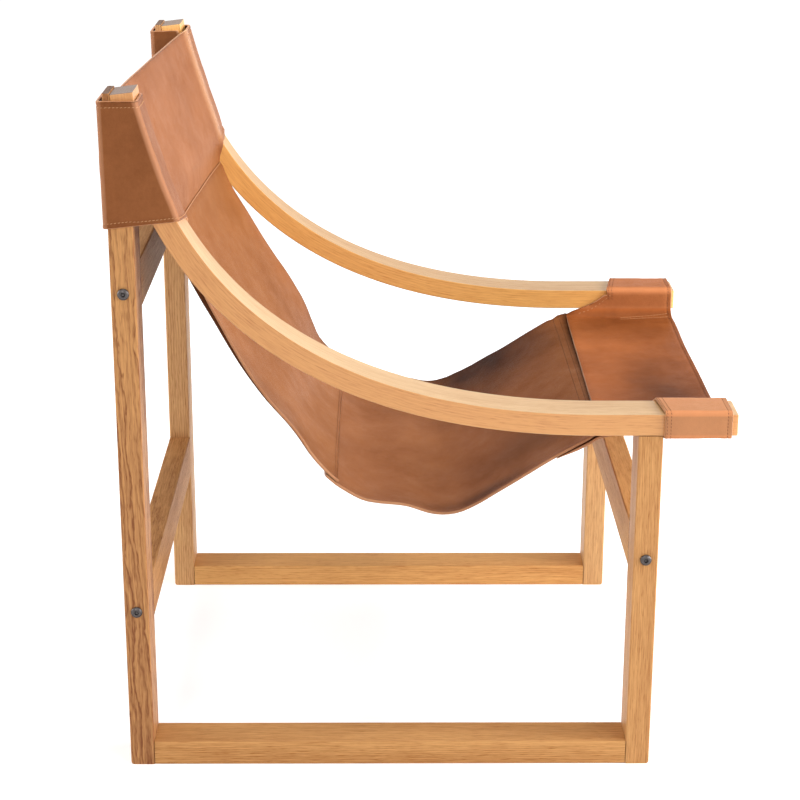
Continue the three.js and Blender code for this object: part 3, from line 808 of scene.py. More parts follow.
# Waves in a metre of leather, their height in millimetres, and a place in the noise
leather_waves = [(7, 1.5, 3.1), (19, 0.5, 8.7)]
wave_margin = 30 * mm

# The far edge hangs differently from the near one: reach, and shift to the back
far_marks = np.array(
    [0, 20, 32, 42, 94, 120, 146, 172, 198, 224, 250, 300, 360, 400, 432, 445, 458, 471, 484,
     497, 510, 523, 536, 549, 562, 575, 601, 627, 650, 680, 718, 783, 809, 913]
) * mm
far_shifts = np.array(
    [0, 0, -6.8, -9.1, -7.6, -7.8, -9.5, -10, -12.3, -12.2, -9, -3, 5, 10, 11.8, 9.5, 6.8, 2.9,
     -1.2, -4.6, -6.7, -8.3, -9.1, -9, -8.2, -7.4, -5.7, -4.2, -3.3, -1.5, 0, -2, -3.3, -4]
) * mm


def hang_share(x, lean=0.5):
    """The share of the slack at a distance across: full in the middle, 0 at the edges."""
    across = np.clip(x / sheet_half, -1, 1)
    return (1 - np.abs(across) ** 6) * (1 - lean * across)


def tuck_share(x):
    return 1 - np.abs(np.clip(x / sheet_half, -1, 1)) ** 14


def wave_at(reach, x):
    """The leather's own slow unevenness, the same for every sheet at a place."""
    size = np.broadcast(reach, x).shape
    a, b = (np.broadcast_to(v, size).ravel() for v in (reach, x))
    wave = 0
    for pace, height, level in leather_waves:
        values = [noise.noise(Vector((p * pace, q * pace, level))) for p, q in zip(a, b)]
        wave = wave + np.array(values) * height * mm
    inside = np.clip((sheet_half - np.abs(b)) / wave_margin, 0, 1)
    return (wave * inside).reshape(size)


def sling_place(reach, x, set_back=0.0):
    """Points on the sling's middle surface, (…, 3), from reach and distance across."""
    reach, x = np.broadcast_arrays(np.asarray(reach, float), np.asarray(x, float))
    along = np.clip(reach, 0, sling_length)
    y, z = (np.interp(along, edge_reach, edge_line[:, k]) for k in (0, 1))
    ty, tz = (np.interp(along, edge_reach, edge_slope[:, k]) for k in (0, 1))
    depth = np.interp(along, slack_marks, slack_depths)
    lean = np.interp(along, slack_marks, slack_leans)
    step = 3 * mm
    inside = np.clip(x, step - sheet_half, sheet_half - step)
    slope = depth * (hang_share(inside + step, lean) - hang_share(inside - step, lean))
    apart = set_back * np.hypot(1, slope / (2 * step))
    tuck = tuck_depth * smooth_step(along, reach_head_seam, reach_sleeve + tuck_run)
    far = np.interp(along, far_marks, far_shifts) * np.clip(0.5 + x / (2 * sheet_half), 0, 1)
    beside_seam = smooth_step(along, *lift_begins) * (1 - smooth_step(along, *lift_ends))
    far = far - seam_lift * beside_seam * smooth_step(x, sheet_half - lift_width, sheet_half)
    sag = edge_sag * smooth_step(along, *sag_begins)
    sag = sag * (1 - smooth_step(along, *sag_ends))
    sag = sag * smooth_step(-x, sheet_half - sag_width, sheet_half)
    back = apart + depth * hang_share(x, lean) + tuck * tuck_share(x) + far + sag
    back = back + wave_at(reach, x)
    return np.stack([x, y + tz * back, z - ty * back], -1)


print("middle of the seat at", sling_place(reach_back_seam / 2, 0.0).round(4))

# %% [markdown]
# ## From a surface to a piece of leather
#
# Leather this thick shows its cut edges, so a panel can't be a single surface. The helper
# below takes the middle surface as points and faces, and builds the smooth grain side, the
# rough flesh side and a rim with softened corners, as one closed mesh with a material for
# each. Solidify and Bevel modifiers could do this too. Writing it out keeps the three
# finishes apart and lets each point remember how far it is from the cut edge.


# %% Build a closed hide from its middle surface
def unit(v):
    return v / np.maximum(np.linalg.norm(v, axis=-1, keepdims=True), 1e-12)


def weld(points, faces, near=1e-6):
    """Joins points at the same place and drops faces that collapse."""
    keys = np.round(points / near).astype(np.int64)
    _, first, inverse = np.unique(keys, axis=0, return_index=True, return_inverse=True)
    inverse = inverse.ravel()
    kept = []
    for face in faces:
        ring = [int(inverse[i]) for i in face]
        ring = [a for i, a in enumerate(ring) if a != ring[i - 1]]
        if len(ring) >= 3:
            kept.append(ring)
    used = sorted({i for ring in kept for i in ring})
    place = {old: new for new, old in enumerate(used)}
    return first[used], [[place[i] for i in ring] for ring in kept]


def fan(points, face):
    """The triangles of a face, each as an arrow across it with twice its area as length."""
    p = points[face]
    return [np.cross(p[i] - p[0], p[i + 1] - p[0]) for i in range(1, len(face) - 1)]


def surface_normals(points, faces):
    normals = np.zeros_like(points)
    for face in faces:
        normals[face] += sum(fan(points, face))
    return unit(normals)


def area_of(points, faces):
    return sum(np.linalg.norm(arrow) / 2 for face in faces for arrow in fan(points, face))


def open_edges(faces):
    seen = {(a, b): True for face in faces for a, b in zip(face, face[1:] + face[:1])}
    return [(a, b) for a, b in seen if (b, a) not in seen]


def out_of_sheet(points, normals, rim):
    """The direction that leaves the sheet, at each point of its rim."""
    outward = np.zeros_like(points)
    for a, b in rim:
        side = unit(np.cross(points[b] - points[a], normals[a] + normals[b]))
        outward[a] += side
        outward[b] += side
    return unit(outward)


def gap_to(points, rim_points, block=400):
    """How far each point is from the nearest rim point, worked out block by block."""
    gaps = []
    for k in range(0, len(points), block):
        spread = points[k : k + block, None] - rim_points[None]
        gaps.append(np.sqrt((spread**2).sum(-1)).min(1))
    return np.concatenate(gaps)


soft_rim = 0.8 * mm
grain_slot, flesh_slot, edge_slot = 0, 1, 2


def hide(name, points, faces, materials, lift, bend=None, wear=None):
    """A closed sheet of leather. Lift raises its grain side; the bend highlight lightens it where it
    bends and paints highlights, and the painted light paints shade and highlights on it.
    """
    points = np.asarray(points, float).reshape(-1, 3)
    first, faces = weld(points, faces)
    points = points[first]
    count = len(points)
    lift, bend, wear = (
        np.zeros(count) if v is None else np.ravel(v)[first] for v in (lift, bend, wear)
    )
    normals = surface_normals(points, faces)
    rim = open_edges(faces)
    on_rim = sorted({i for pair in rim for i in pair})
    rim_points, rim_normals = points[on_rim], normals[on_rim]
    half = leather / 2
    drawn_in = points.copy()
    drawn_in[on_rim] -= out_of_sheet(points, normals, rim)[on_rim] * soft_rim
    grain_side = drawn_in + normals * (half + lift)[:, None]
    flesh_side = drawn_in - normals * half
    round_off = np.minimum(soft_rim, (leather + lift[on_rim]) / 3)[:, None]
    high_rim = rim_points + rim_normals * (half + lift[on_rim][:, None] - round_off)
    low_rim = rim_points - rim_normals * (half - round_off)
    high_at = {v: 2 * count + i for i, v in enumerate(on_rim)}
    low_at = {v: 2 * count + len(on_rim) + i for i, v in enumerate(on_rim)}
    made = [list(face) for face in faces]
    made += [[count + i for i in reversed(face)] for face in faces]
    for a, b in rim:
        made += [
            [b, a, high_at[a], high_at[b]],
            [high_at[b], high_at[a], low_at[a], low_at[b]],
            [low_at[b], low_at[a], count + a, count + b],
        ]
    paint = [grain_slot] * len(faces) + [flesh_slot] * len(faces) + [edge_slot] * 3 * len(rim)
    mesh = bpy.data.meshes.new(name)
    mesh.from_pydata(np.vstack([grain_side, flesh_side, high_rim, low_rim]).tolist(), [], made)
    known = {"edge_gap": gap_to(points, rim_points), "bend": bend, "wear": wear}
    for key, values in known.items():
        store(mesh, key, np.concatenate([values, values, values[on_rim], values[on_rim]]))
    for material in materials:
        mesh.materials.append(material)
    mesh.polygons.foreach_set("material_index", paint)
    mesh.polygons.foreach_set("use_smooth", [True] * len(paint))
    mesh.update()
    piece = add_object(name, mesh)
    piece["flat_area"] = area_of(points, faces)
    print(name, len(mesh.polygons), "faces, flat area", round(piece["flat_area"], 4))
    return piece


def grid_faces(rows, columns, keep=lambda i, j: True):
    """Four-sided faces between rows and columns of points, where keep allows one."""
    faces = []
    for i in range(rows - 1):
        for j in range(columns - 1):
            if keep(i, j):
                a = i * columns + j
                faces.append([a, a + 1, a + columns + 1, a + columns])
    return faces


# %% [markdown]
# ## Leather
#
# Oiled tan leather is never one colour. It clouds from light to dark over a hand's
# breadth, it lightens where it is bent, it darkens along worked edges, and fine pores
# break up its shine. The same lightening also paints highlights along sharp corners, and
# a second value paints shade and highlights into the colour. The grain side, the flesh
# side and the cut edge share one group, with different values.

# %% Shader group: tanned hide
hide_group, hide_in, hide_out = new_group(
    "tanned_hide",
    [
        ("Place", "v"),
        ("Base", "c"),
        ("Deep", "c"),
        ("Lit", "c"),
        ("Cloud", "f"),
        ("Edge Gap", "f"),
        ("Bend", "f"),
        ("Wear", "f"),
        ("Pore Size", "f"),
    ],
    [("Color", "c"), ("Roughness", "f"), ("Height", "f")],
)


# The brown of painted shade, and a pale tan for painted highlights and paler sleeves
painted_shade_brown, paled_tan = linear(56, 28, 13), linear(226, 176, 132)


def build_hide():
    t = hide_group
    place = hide_in["Place"]
    cloud = stretched_noise(t, place, (5.5, 5.5, 5.5), 3, rough=0.55)
    patch = stretched_noise(t, place, (26, 26, 26), 4, rough=0.65)
    speck = stretched_noise(t, place, (170, 170, 170), 3, rough=0.7)
    cloud, patch, speck = (math_node(t, "SUBTRACT", v, 0.5) for v in (cloud, patch, speck))
    tone = math_node(t, "MULTIPLY_ADD", cloud, 2.0, 0.45)
    tone = math_node(t, "MULTIPLY_ADD", patch, 0.9, tone)
    tone = math_node(t, "MULTIPLY_ADD", speck, 0.5, tone)
    tone = math_node(t, "SUBTRACT", tone, 0.5)
    tone = math_node(t, "MULTIPLY_ADD", tone, hide_in["Cloud"], 0.5)
    near_edge = mapped(t, hide_in["Edge Gap"], (0.0, 0.009), (0.28, 0.0))
    tone = math_node(t, "ADD", tone, near_edge, clamp=True)
    colour = mix_colour(t, tone, hide_in["Base"], hide_in["Deep"])
    # Painted light: a positive value paints shade in dark brown, a negative one paints the leather
    # paler toward pale tan
    broken = math_node(t, "MULTIPLY_ADD", cloud, 1.6, 1.0)
    wear = math_node(t, "MULTIPLY", hide_in["Wear"], broken, clamp=True)
    colour = mix_colour(t, wear, colour, painted_shade_brown)
    fade = math_node(t, "MULTIPLY", hide_in["Wear"], -1.0, clamp=True)
    colour = mix_colour(t, fade, colour, paled_tan)
    # Bent leather lightens toward the lit colour, and the same value paints highlights along sharp
    # corners
    light = math_node(t, "MULTIPLY", hide_in["Bend"], 0.5, clamp=True)
    colour = mix_colour(t, light, colour, hide_in["Lit"])
    t.links.new(colour, hide_out["Color"])
    spread = vector_node(t, "SCALE", place, scale=hide_in["Pore Size"])[0]
    cells = put(t, "ShaderNodeTexVoronoi", {"Vector": spread, "Scale": 1.0}, feature="DISTANCE_TO_EDGE")
    grain = ramp(t, cells.outputs["Distance"], [(0, 0), (0.25, 0.9), (1, 1)])
    wrinkle = stretched_noise(t, place, (90, 90, 90), 4, rough=0.6)
    height = math_node(t, "MULTIPLY_ADD", grain, 0.25, math_node(t, "MULTIPLY", wrinkle, 1.3))
    t.links.new(height, hide_out["Height"])
    shine = math_node(t, "MULTIPLY_ADD", patch, 0.35, 0.38)
    shine = math_node(t, "MULTIPLY_ADD", light, -0.24, shine)
    t.links.new(shine, hide_out["Roughness"])


build_hide()
# tan_lit is the colour of bent leather and of painted highlights
tan_base, tan_deep, tan_lit = linear(178, 112, 66), linear(132, 76, 40), linear(204, 144, 104)


def tinted(colour, tint):
    """A colour with its red, green and blue multiplied by the tint."""
    return (*(c * t for c, t in zip(colour, tint)), 1.0)


def leather_material(name, shift, base, deep, lit, cloud, pores, depth, **shader_values):
    """One side of the leather. The shift moves its clouds, so no two panels match."""
    material, tree, shader = new_material(name, **shader_values)
    place = put(tree, "ShaderNodeMapping", {"Vector": object_place(tree), "Location": shift})
    skin = put(
        tree,
        "ShaderNodeGroup",
        {
            "Place": place.outputs[0],
            "Edge Gap": painted_value(tree, "edge_gap"),
            "Bend": painted_value(tree, "bend"),
            "Wear": painted_value(tree, "wear"),
            "Base": base,
            "Deep": deep,
            "Lit": lit,
            "Cloud": cloud,
            "Pore Size": pores,
        },
        node_tree=hide_group,
    )
    surface = {
        "Base Color": skin.outputs["Color"],
        "Roughness": skin.outputs["Roughness"],
        "Normal": bumped(tree, skin.outputs["Height"], depth, 0.6),
    }
    fill(tree, shader, surface)
    return material


def hide_finishes(name, shift, tint, gloss=1.2):
    """Grain side, flesh side and cut edge of one panel, with its own tint and gloss."""
    base, deep, lit = (tinted(tone, tint) for tone in (tan_base, tan_deep, tan_lit))
    return [
        leather_material(f"{name}_grain", shift, base, deep, lit, 0.7, 850, 0.0006, ior=gloss),
        # Painted shade: the flesh side is given a dark brown, the colour it shows in shade
        leather_material(
            f"{name}_flesh", shift, linear(104, 62, 40), linear(72, 42, 26),
            linear(120, 76, 52), 0.6, 1500, 0.0012, specular_ior_level=0.0,
        ),
        leather_material(
            f"{name}_edge", shift, linear(214, 160, 116), linear(176, 118, 78),
            linear(214, 160, 116), 0.8, 2200, 0.0004, specular_ior_level=0.3,
        ),
    ]


print("leather group holds", len(hide_group.nodes), "nodes")

# %% [markdown]
# ## Seat and lower back
#
# These two panels are plain rectangles with free side edges. The seat runs from under the
# front panel to behind the lower back, and the lower back ends in front of the head
# panel. Their columns of points stand closer together beside the edges, where the leather
# turns back quickly.

# %% Columns and rows that crowd where the shape turns
edge_marks = np.array(
    [0, 0.8, 2, 3.5, 5.5, 8, 11, 15, 20, 26, 34, 44, 56, 72, 92, 116, 144, 176, 212]
) * mm
half_columns = sheet_half - edge_marks
sling_columns = np.concatenate([-half_columns, [0], half_columns[::-1]])
end_marks = np.array([0, 0.8, 2, 3.6, 5.4, 7.5, 10]) * mm
end_run = 16 * mm


def crowded(start, end, step=9 * mm):
    """Marks from start to end, close together at both ends."""
    middle = np.linspace(start + end_run, end - end_run, int((end - start) / step))
    return np.concatenate([start + end_marks, middle, (end - end_marks)[::-1]])


def finish_panel(piece, replaced, grid, held, rests_on, **extra):
    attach(piece, "root")
    if replaced:
        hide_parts(replaced)


def sling_panel(name, start, end, set_back_at, shift, tint, gloss, skived=0.0, wear_at=None):
    """One plain panel. A skived end is pared thin from its face, so it hardly shows."""
    reaches = crowded(start, end)
    grid = sling_place(reaches[:, None], sling_columns[None], set_back_at(reaches)[:, None])
    faces = grid_faces(len(reaches), len(sling_columns))
    pared = skived * (1 - smooth_step(end - reaches, 0.5 * mm, 9 * mm))
    lift = -np.broadcast_to(pared[:, None], grid.shape[:2])
    # Painted shade for the panel, where a function for it is given
    wear = wear_at(reaches[:, None], sling_columns[None]) if wear_at else None
    made = hide(name, grid, faces, hide_finishes(name, shift, tint, gloss), lift, wear=wear)
    return made, grid


def spot(reach, x, middle, width):
    """A soft round patch: 1 in its middle, fading over its half widths."""
    return np.exp(-(((reach - middle[0]) / width[0]) ** 2) - ((x - middle[1]) / width[1]) ** 2)


def seat_painted_shade(reach, x):
    """Painted shade: the seat is darkest along its far edge, in the fold beside the near one and in a
    line along the front seam, and a little darker near the near edge.
    """
    far = 1.1 * spot(reach, x, (0.165, 0.26), (0.105, 0.13))
    fold = 0.55 * spot(reach, x, (0.18, -0.228), (0.085, 0.022))
    side = 0.3 * spot(reach, x, (0.10, -0.17), (0.10, 0.08))
    seam = 0.8 * spot(reach, x, (0.016, 0.0), (0.005, 9.0))
    return np.clip(0.06 + far + fold + side + seam, 0, 1)


seat_end = reach_back_seam + sheet_lap
lap_blend = 34 * mm
seat, seat_grid = sling_panel(
    "seat_hide",
    0.0,
    seat_end,
    lambda r: lap_step * smooth_step(r, reach_back_seam - lap_blend, reach_back_seam - timber_gap),
    (0.0, 0.1, 0.0),
    (0.9, 0.97, 1.12),
    1.08,
    wear_at=seat_painted_shade,
)
lower_back, lower_back_grid = sling_panel(
    "lower_back_hide",
    reach_back_seam,
    reach_head_seam,
    lambda r: 0 * r,
    (0.9, 0.0, 0.35),
    (0.8, 0.84, 0.83),
    1.1,
    skived=2.3 * mm,
)

# %% [markdown]
# ## Head panel
#
# The head panel is wider than the chair. At each side it passes over the front of the
# post and arm, round the outside and the back, and returns along the inner side to be
# sewn behind itself. So one row of points, from one end of the cut to the other, runs
# round one post, across the back and round the other post. Below the sleeves the cut is
# narrower, and only the part between the posts goes on down to the seam.


# %% Paths with rounded corners
def short_curve(start, corner, end, count):
    """Points that turn from start to end under a corner, without the start itself."""
    return [
        (1 - s) ** 2 * start + 2 * s * (1 - s) * corner + s * s * end
        for s in np.linspace(0, 1, count + 1)[1:]
    ]


def rounded_path(corners, trims, counts, corner_count=6):
    """Points along straight runs whose corners are turned by a short curve."""
    corners = [np.asarray(c, float) for c in corners]
    points = []
    for k in range(len(corners) - 1):
        a, b = corners[k], corners[k + 1]
        along = unit(b - a)
        start = a + along * trims[k]
        end = b - along * trims[k + 1]
        run = [start + (end - start) * s for s in np.linspace(0, 1, counts[k])]
        points += run if k == 0 or trims[k] == 0 else run[1:]
        if trims[k + 1] and k + 2 < len(corners):
            ahead = unit(corners[k + 2] - b)
            points += short_curve(end, b, b + ahead * trims[k + 1], corner_count)
    return points


wall_in = inner_x - timber_gap - leather / 2
wall_out = outer_x + timber_gap + leather / 2
turn_x = wall_in + 0.5 * mm
# Room behind the post, and how much more of it there is at the top
rear_room, top_room = 2.3 * mm, 1.7 * mm
wall_rear = rear_y + rear_room + leather / 2
# The arm's face slopes, so a sheet in front of it needs more room along Y than it is thick
slope_room = 1.25
corner_trim, front_trim, inner_trim = 5.2 * mm, 6 * mm, 9 * mm
sewn_start = 10 * mm
front_fade = 6 * mm
panel_start = sheet_half - 9 * mm
hem_gap = 5.5 * mm
top_hem_gap = 7.5 * mm

# How much lower the sleeve's hem is at the outer and at the inner end of its front face
hem_drops = {-1: (0.0, 9 * mm), 1: (10 * mm, 17 * mm)}
drop_fade, drop_spread = 120 * mm, 70 * mm


def lowered(reach, drop):
    """Above the hem a drop fades out, and below it the rows close up to make room."""
    span = reach_sleeve - lower_start
    below = lower_start + (reach - lower_start) * (1 - drop / span)
    above = reach - drop * np.clip(1 - (reach - reach_sleeve) / drop_fade, 0, 1) ** 2
    return np.where(reach < reach_sleeve, below, above)


def front_edge(reach, side, drop):
    """The front corner of a sleeve's row, held in front of the arm's face."""
    place = sling_place(lowered(reach, drop), side * sheet_half)
    in_front = arm_front_at(place[..., 2]) - slope_room * (timber_gap + leather / 2)
    return np.minimum(place[..., 1], in_front), place[..., 2]


def held_forward(side):
    """How far the arm holds the hem's inner end in front of the hanging edge."""
    drop = hem_drops[side][1]
    hanging = sling_place(lowered(reach_sleeve, drop), side * sheet_half)[1]
    return hanging - front_edge(reach_sleeve, side, drop)[0]


def head_loop(reach, side):
    """Half a row, from the sewn end round the post to the panel."""
    drop_out, drop_in = hem_drops[side]
    front_y_here, z_front = front_edge(reach, side, drop_out)
    y_in, z_in = front_edge(reach, side, drop_in)
    share = (reach - reach_sleeve) / (sling_length - reach_sleeve)
    z_rear = sleeve_rear + share * (sleeve_top - sleeve_rear)
    rear = wall_rear + top_room * share
    panel = sling_place(lowered(reach, drop_in), side * panel_start)
    corners = [
        (side * wall_in, y_in + sewn_start, 0),
        (side * wall_in, rear, 0),
        (side * wall_out, rear, 0),
        (side * wall_out, front_y_here, 0),
        (side * turn_x, y_in, 0),
    ]
    path = rounded_path(
        corners, [0, corner_trim, corner_trim, front_trim, inner_trim], [9, 9, 12, 9]
    )
    for p in path:
        level = z_front + (z_rear - z_front) * (p[1] - front_y_here) / (rear - front_y_here)
        inward = np.clip((wall_out - abs(p[0])) / (wall_out - wall_in), 0, 1)
        on_front = np.clip(1 - (p[1] - front_y_here) / front_fade, 0, 1)
        p[2] = level + (z_in - z_front) * inward * on_front
    turn = np.array([side * turn_x, y_in, z_in])
    return np.array(path + short_curve(path[-1], turn, panel, 8))


lower_start = reach_head_seam - sheet_lap
inner_columns = sling_columns[np.abs(sling_columns) < panel_start - 1 * mm]


def panel_drop(x):
    """The hem's drop carries on a little way into the panel."""
    near = hem_drops[-1][1] * smooth_step(-x, panel_start - drop_spread, panel_start)
    far = hem_drops[1][1] * smooth_step(x, panel_start - drop_spread, panel_start)
    return near + far


sleeve_rows = crowded(reach_sleeve, sling_length, 7 * mm)
loop_size = len(head_loop(sleeve_rows[0], 1))
turn_size = 5


def head_row(reach):
    """A whole row: round one post, across the back, and round the other."""
    middle = sling_place(lowered(reach, panel_drop(inner_columns)), inner_columns)
    return np.vstack([head_loop(reach, -1), middle, head_loop(reach, 1)[::-1]])


upper_rows = np.array([head_row(r) for r in sleeve_rows])
row_size = upper_rows.shape[1]

lower_reaches = np.concatenate(
    [
        lower_start + end_marks,
        np.linspace(lower_start + end_run, reach_sleeve - 2 * mm, 9),
    ]
)
clear_of_seam = reach_head_seam + 2 * leather


def head_set_back(reach):
    """Behind the lower back at the lap, and in line with it above."""
    return lap_step * (1 - smooth_step(reach, clear_of_seam, clear_of_seam + lap_blend))


edge_run = np.linspace(sheet_half, panel_start, turn_size)
lower_columns = np.concatenate([-edge_run, inner_columns, edge_run[::-1]])
lower_at = lowered(lower_reaches[:, None], panel_drop(lower_columns)[None])
lower_rows = sling_place(lower_at, lower_columns[None], head_set_back(lower_at))
# Both ends of the lower rows come forward with the hem
push = held_forward(-1) * smooth_step(-lower_columns, panel_start, sheet_half)
push = push + held_forward(1) * smooth_step(lower_columns, panel_start, sheet_half)
near_hem = smooth_step(lower_reaches, lower_start + end_run, reach_sleeve)
lower_rows[..., 1] -= near_hem[:, None] * push


# %% Lay out, crease and skin the head panel
groove_width = 1.1 * mm
# In radians for each millimetre
slow_turn, sharp_turn = 0.05, 0.14
# A painted highlight on the far sleeve's front face: the middle of the band, its width, how pale
highlight_middle, highlight_width, highlight_paling = wall_in + 2 * mm, 11 * mm, 0.45
highlight_depth = 12 * mm


def pressed(away, groove, pressing, band, stop):
    """A hem's height: a groove at its thread, and a pressed band that ends at the stop."""
    height = -groove * np.exp(-(((away - hem_gap) / groove_width) ** 2))
    return height - pressing * smooth_step(away, hem_gap + band[0], hem_gap + band[1]) * (away < stop)


def turning(row):
    """1 where a row turns a sharp corner, 0 where it is flat or bends slowly."""
    steps = np.diff(row, axis=0)
    lengths = np.maximum(np.linalg.norm(steps, axis=1), 1e-6)
    turn = np.linalg.norm(np.diff(steps / lengths[:, None], axis=0), axis=1)
    sharp = turn / ((lengths[:-1] + lengths[1:]) / 2) * mm
    creased = np.clip((sharp - slow_turn) / (sharp_turn - slow_turn), 0, 1)
    return np.concatenate([[0], creased, [0]])


def head_panel():
    rows = []
    for row in lower_rows:
        full = np.full((row_size, 3), np.nan)
        full[loop_size - turn_size : row_size - loop_size + turn_size] = row
        rows.append(full)
    rows = np.array([*rows, *upper_rows])
    ok = ~np.isnan(rows[..., 0])
    faces = grid_faces(len(rows), row_size, lambda i, j: ok[i : i + 2, j : j + 2].all())
    reach = np.concatenate([lower_reaches, sleeve_rows])[:, None]
    column = np.arange(row_size)[None]
    from_end = np.minimum(column, row_size - 1 - column)
    on_loop = smooth_step(-from_end, -loop_size + 3, -loop_size + 9)
    hems = sum(
        pressed(away, 0.55 * mm, 0.35 * mm, (0, 3 * mm), 60 * mm)
        for away in (sling_length - reach, reach - reach_sleeve)
    )
    lift = hems * on_loop * (reach >= reach_sleeve - 1e-6)
    # Bent leather lightens along the sleeves' corners, with a painted highlight where they turn sharply
    bend = np.broadcast_to(turning(upper_rows[len(upper_rows) // 2])[None], (len(rows), row_size))
    x, y = (np.nan_to_num(rows[..., k]) for k in (0, 1))
    # Painted highlight: a pale band down the far sleeve's front face, in the lit colour and toward pale
    # tan
    front_face = y < np.nanmin(rows[..., 1], axis=1)[:, None] + highlight_depth
    painted_highlight = np.exp(-(((x - highlight_middle) / highlight_width) ** 2)) * front_face
    painted_highlight = painted_highlight * smooth_step(reach, reach_sleeve - 10 * mm, reach_sleeve + 20 * mm)
    bend = np.clip(bend + painted_highlight, 0, 1)
    finishes = hide_finishes("head_hide", (0.3, 0.5, 0.0), (0.82, 0.83, 0.88), 1.16)
    made = hide("head_hide", np.nan_to_num(rows), faces, finishes, lift, bend, -highlight_paling * painted_highlight)
    return made, rows


head, head_grid = head_panel()
finish_panel(seat, "seat_panel", seat_grid, "hung", ["front_panel", "lower_back_panel"])
finish_panel(
    lower_back, "lower_back_panel", lower_back_grid, "hung", ["head_panel", "seat_panel"]
)
finish_panel(
    head,
    "head_panel",
    head_grid,
    "hung",
    ["right_rear_leg", "left_rear_leg", "right_bent_arm", "left_bent_arm"],
)

# %% [markdown]
# ## Front panel
#
# The front panel turns up at each side, over the straight end of the arm, down its
# outside and back underneath, where a narrow flap is sewn below the panel. Behind the
# sleeve the upright part slopes down to the seam as a gusset. Rows of points run across
# the chair, first through both sleeves and then, further back, over the panel and its two
# gussets only.

# %% Section of the front panel
curl = 16 * mm
wall_x = wall_in - 1.2 * mm
flat_half = wall_x - curl
sleeve_low = arm_underside - timber_gap - leather / 2
sleeve_high = arm_underside + arm_thickness + timber_gap + leather / 2 + 1.2 * mm
soft_trim = 9 * mm
wall_rise = sleeve_high - soft_trim - panel_height

# The gusset's edge: how far behind the frame's front face, and how high above the panel
gusset_line = np.array(
    [(9.5, 34.5), (13.6, 31), (23.6, 22.7), (33, 17.6), (43.6, 13.1), (58.5, 6.1), (68.5, 0)]
) * mm

# Where the sleeve ends at the back: inside the arm, outside it, and the slant over its top
inner_end = front_y + gusset_line[0, 0]
outer_end = front_y - timber_gap
slants = {-1: 5.5 * mm, 1: 11 * mm}

# The front hem in millimetres: how far ahead of the frame, and how much more in the middle
hem_ahead, hem_bow = 81.5, 6
far_ahead, far_part = 3 * mm, (0.1, 0.24)
panel_hollow = 7 * mm

# Distances from the middle of the chair to three points of the sewn flap under the arm
flap_tip, flap_bend, flap_corner = 216 * mm, 243 * mm, 256.5 * mm
flap_dip = 1.3 * mm


def rise_at(y):
    """The height of the gusset's edge above the panel."""
    return np.interp(y - front_y, gusset_line[:, 0], gusset_line[:, 1])


def hem_y(x):
    """The front hem, which bows forward and reaches further on the far side."""
    ahead = (hem_ahead + hem_bow * hang_share(x)) * mm
    return front_y - ahead - far_ahead * smooth_step(x, *far_part)


def panel_z(x):
    return panel_height - panel_hollow * hang_share(np.asarray(x))


def rippled(rows):
    """The rows with the leather's own unevenness."""
    known = np.nan_to_num(rows)
    rows = rows.copy()
    rows[..., 2] -= wave_at(known[..., 1] + 5, known[..., 0])
    return rows


flat_columns = np.array([0, 40, 80, 115, 145, 170, 190, 205, 216, 224, 230, 234.5]) * mm
flat_columns = np.append(flat_columns, flat_half)
curl_shares = np.linspace(0, 1, 8)[1:]
wall_count = 6


def flat_and_curl(side, rise):
    """From the middle of the panel out to the top of the upright edge, as (x, z)."""
    points = [(side * x, float(panel_z(side * x))) for x in flat_columns]
    low = min(curl, rise)
    radius = (curl**2 + low**2) / (2 * max(low, 1e-9))
    angle = 2 * math.atan2(low, curl)
    for s in curl_shares:
        x = flat_half + radius * math.sin(angle * s)
        z = float(panel_z(side * min(x, sheet_half))) + radius * (1 - math.cos(angle * s))
        points.append((side * x, z))
    for s in np.linspace(0, 1, wall_count + 1)[1:]:
        points.append((side * wall_x, panel_height + low + (rise - low) * s))
    return points


def sleeve_round(side):
    """On from the top of the upright edge, round the arm to the end of the sewn flap."""
    bend_z, tip_z = (float(panel_z(side * x)) - lap_step for x in (flap_bend, flap_tip))
    corners = [
        (side * wall_x, panel_height + curl, 0),
        (side * wall_x, sleeve_high, 0),
        (side * wall_out, sleeve_high, 0),
        (side * wall_out, sleeve_low, 0),
        (side * flap_corner, sleeve_low, 0),
        (side * flap_bend, bend_z - flap_dip, 0),
        (side * flap_tip, tip_z, 0),
    ]
    trims = [0, soft_trim, corner_trim, corner_trim, 4 * mm, 7 * mm, 0]
    path = rounded_path(corners, trims, [2, 12, 8, 10, 5, 6])
    return [(p[0], p[1]) for p in path[2:]]


rounds = {side: sleeve_round(side) for side in (-1, 1)}
base_size = len(flat_columns) + len(curl_shares) + wall_count
print("front row has", 2 * (base_size + len(rounds[1])) - 1, "points")


# %% Rows of the front panel
def sleeve_end(x, z):
    """Where the sleeve ends at the back: it slants over the top of the arm."""
    if z < panel_height + curl or abs(x) < wall_x - 1e-6:
        return outer_end if z < sleeve_low + 1 * mm or abs(x) > wall_x + 1 * mm else inner_end
    share = np.clip((abs(x) - wall_x) / (wall_out - wall_x), 0, 1)
    if z < sleeve_high - corner_trim and abs(x) > inner_x + 10 * mm:
        share = 1
    turned = smooth_step(z, sleeve_high - soft_trim, sleeve_high - 1 * mm)
    corner = front_y + slants[1 if x > 0 else -1]
    start = inner_end + turned * (corner - inner_end)
    return start + share * (outer_end - start)


sleeve_depth = 91 * mm
row_shares = crowded(0, sleeve_depth, 8 * mm) / sleeve_depth
rear_offsets = np.concatenate(
    [np.linspace(9.5, 62, 16)[1:], [64.3, 66, 67.5, 68.5]]
) * mm


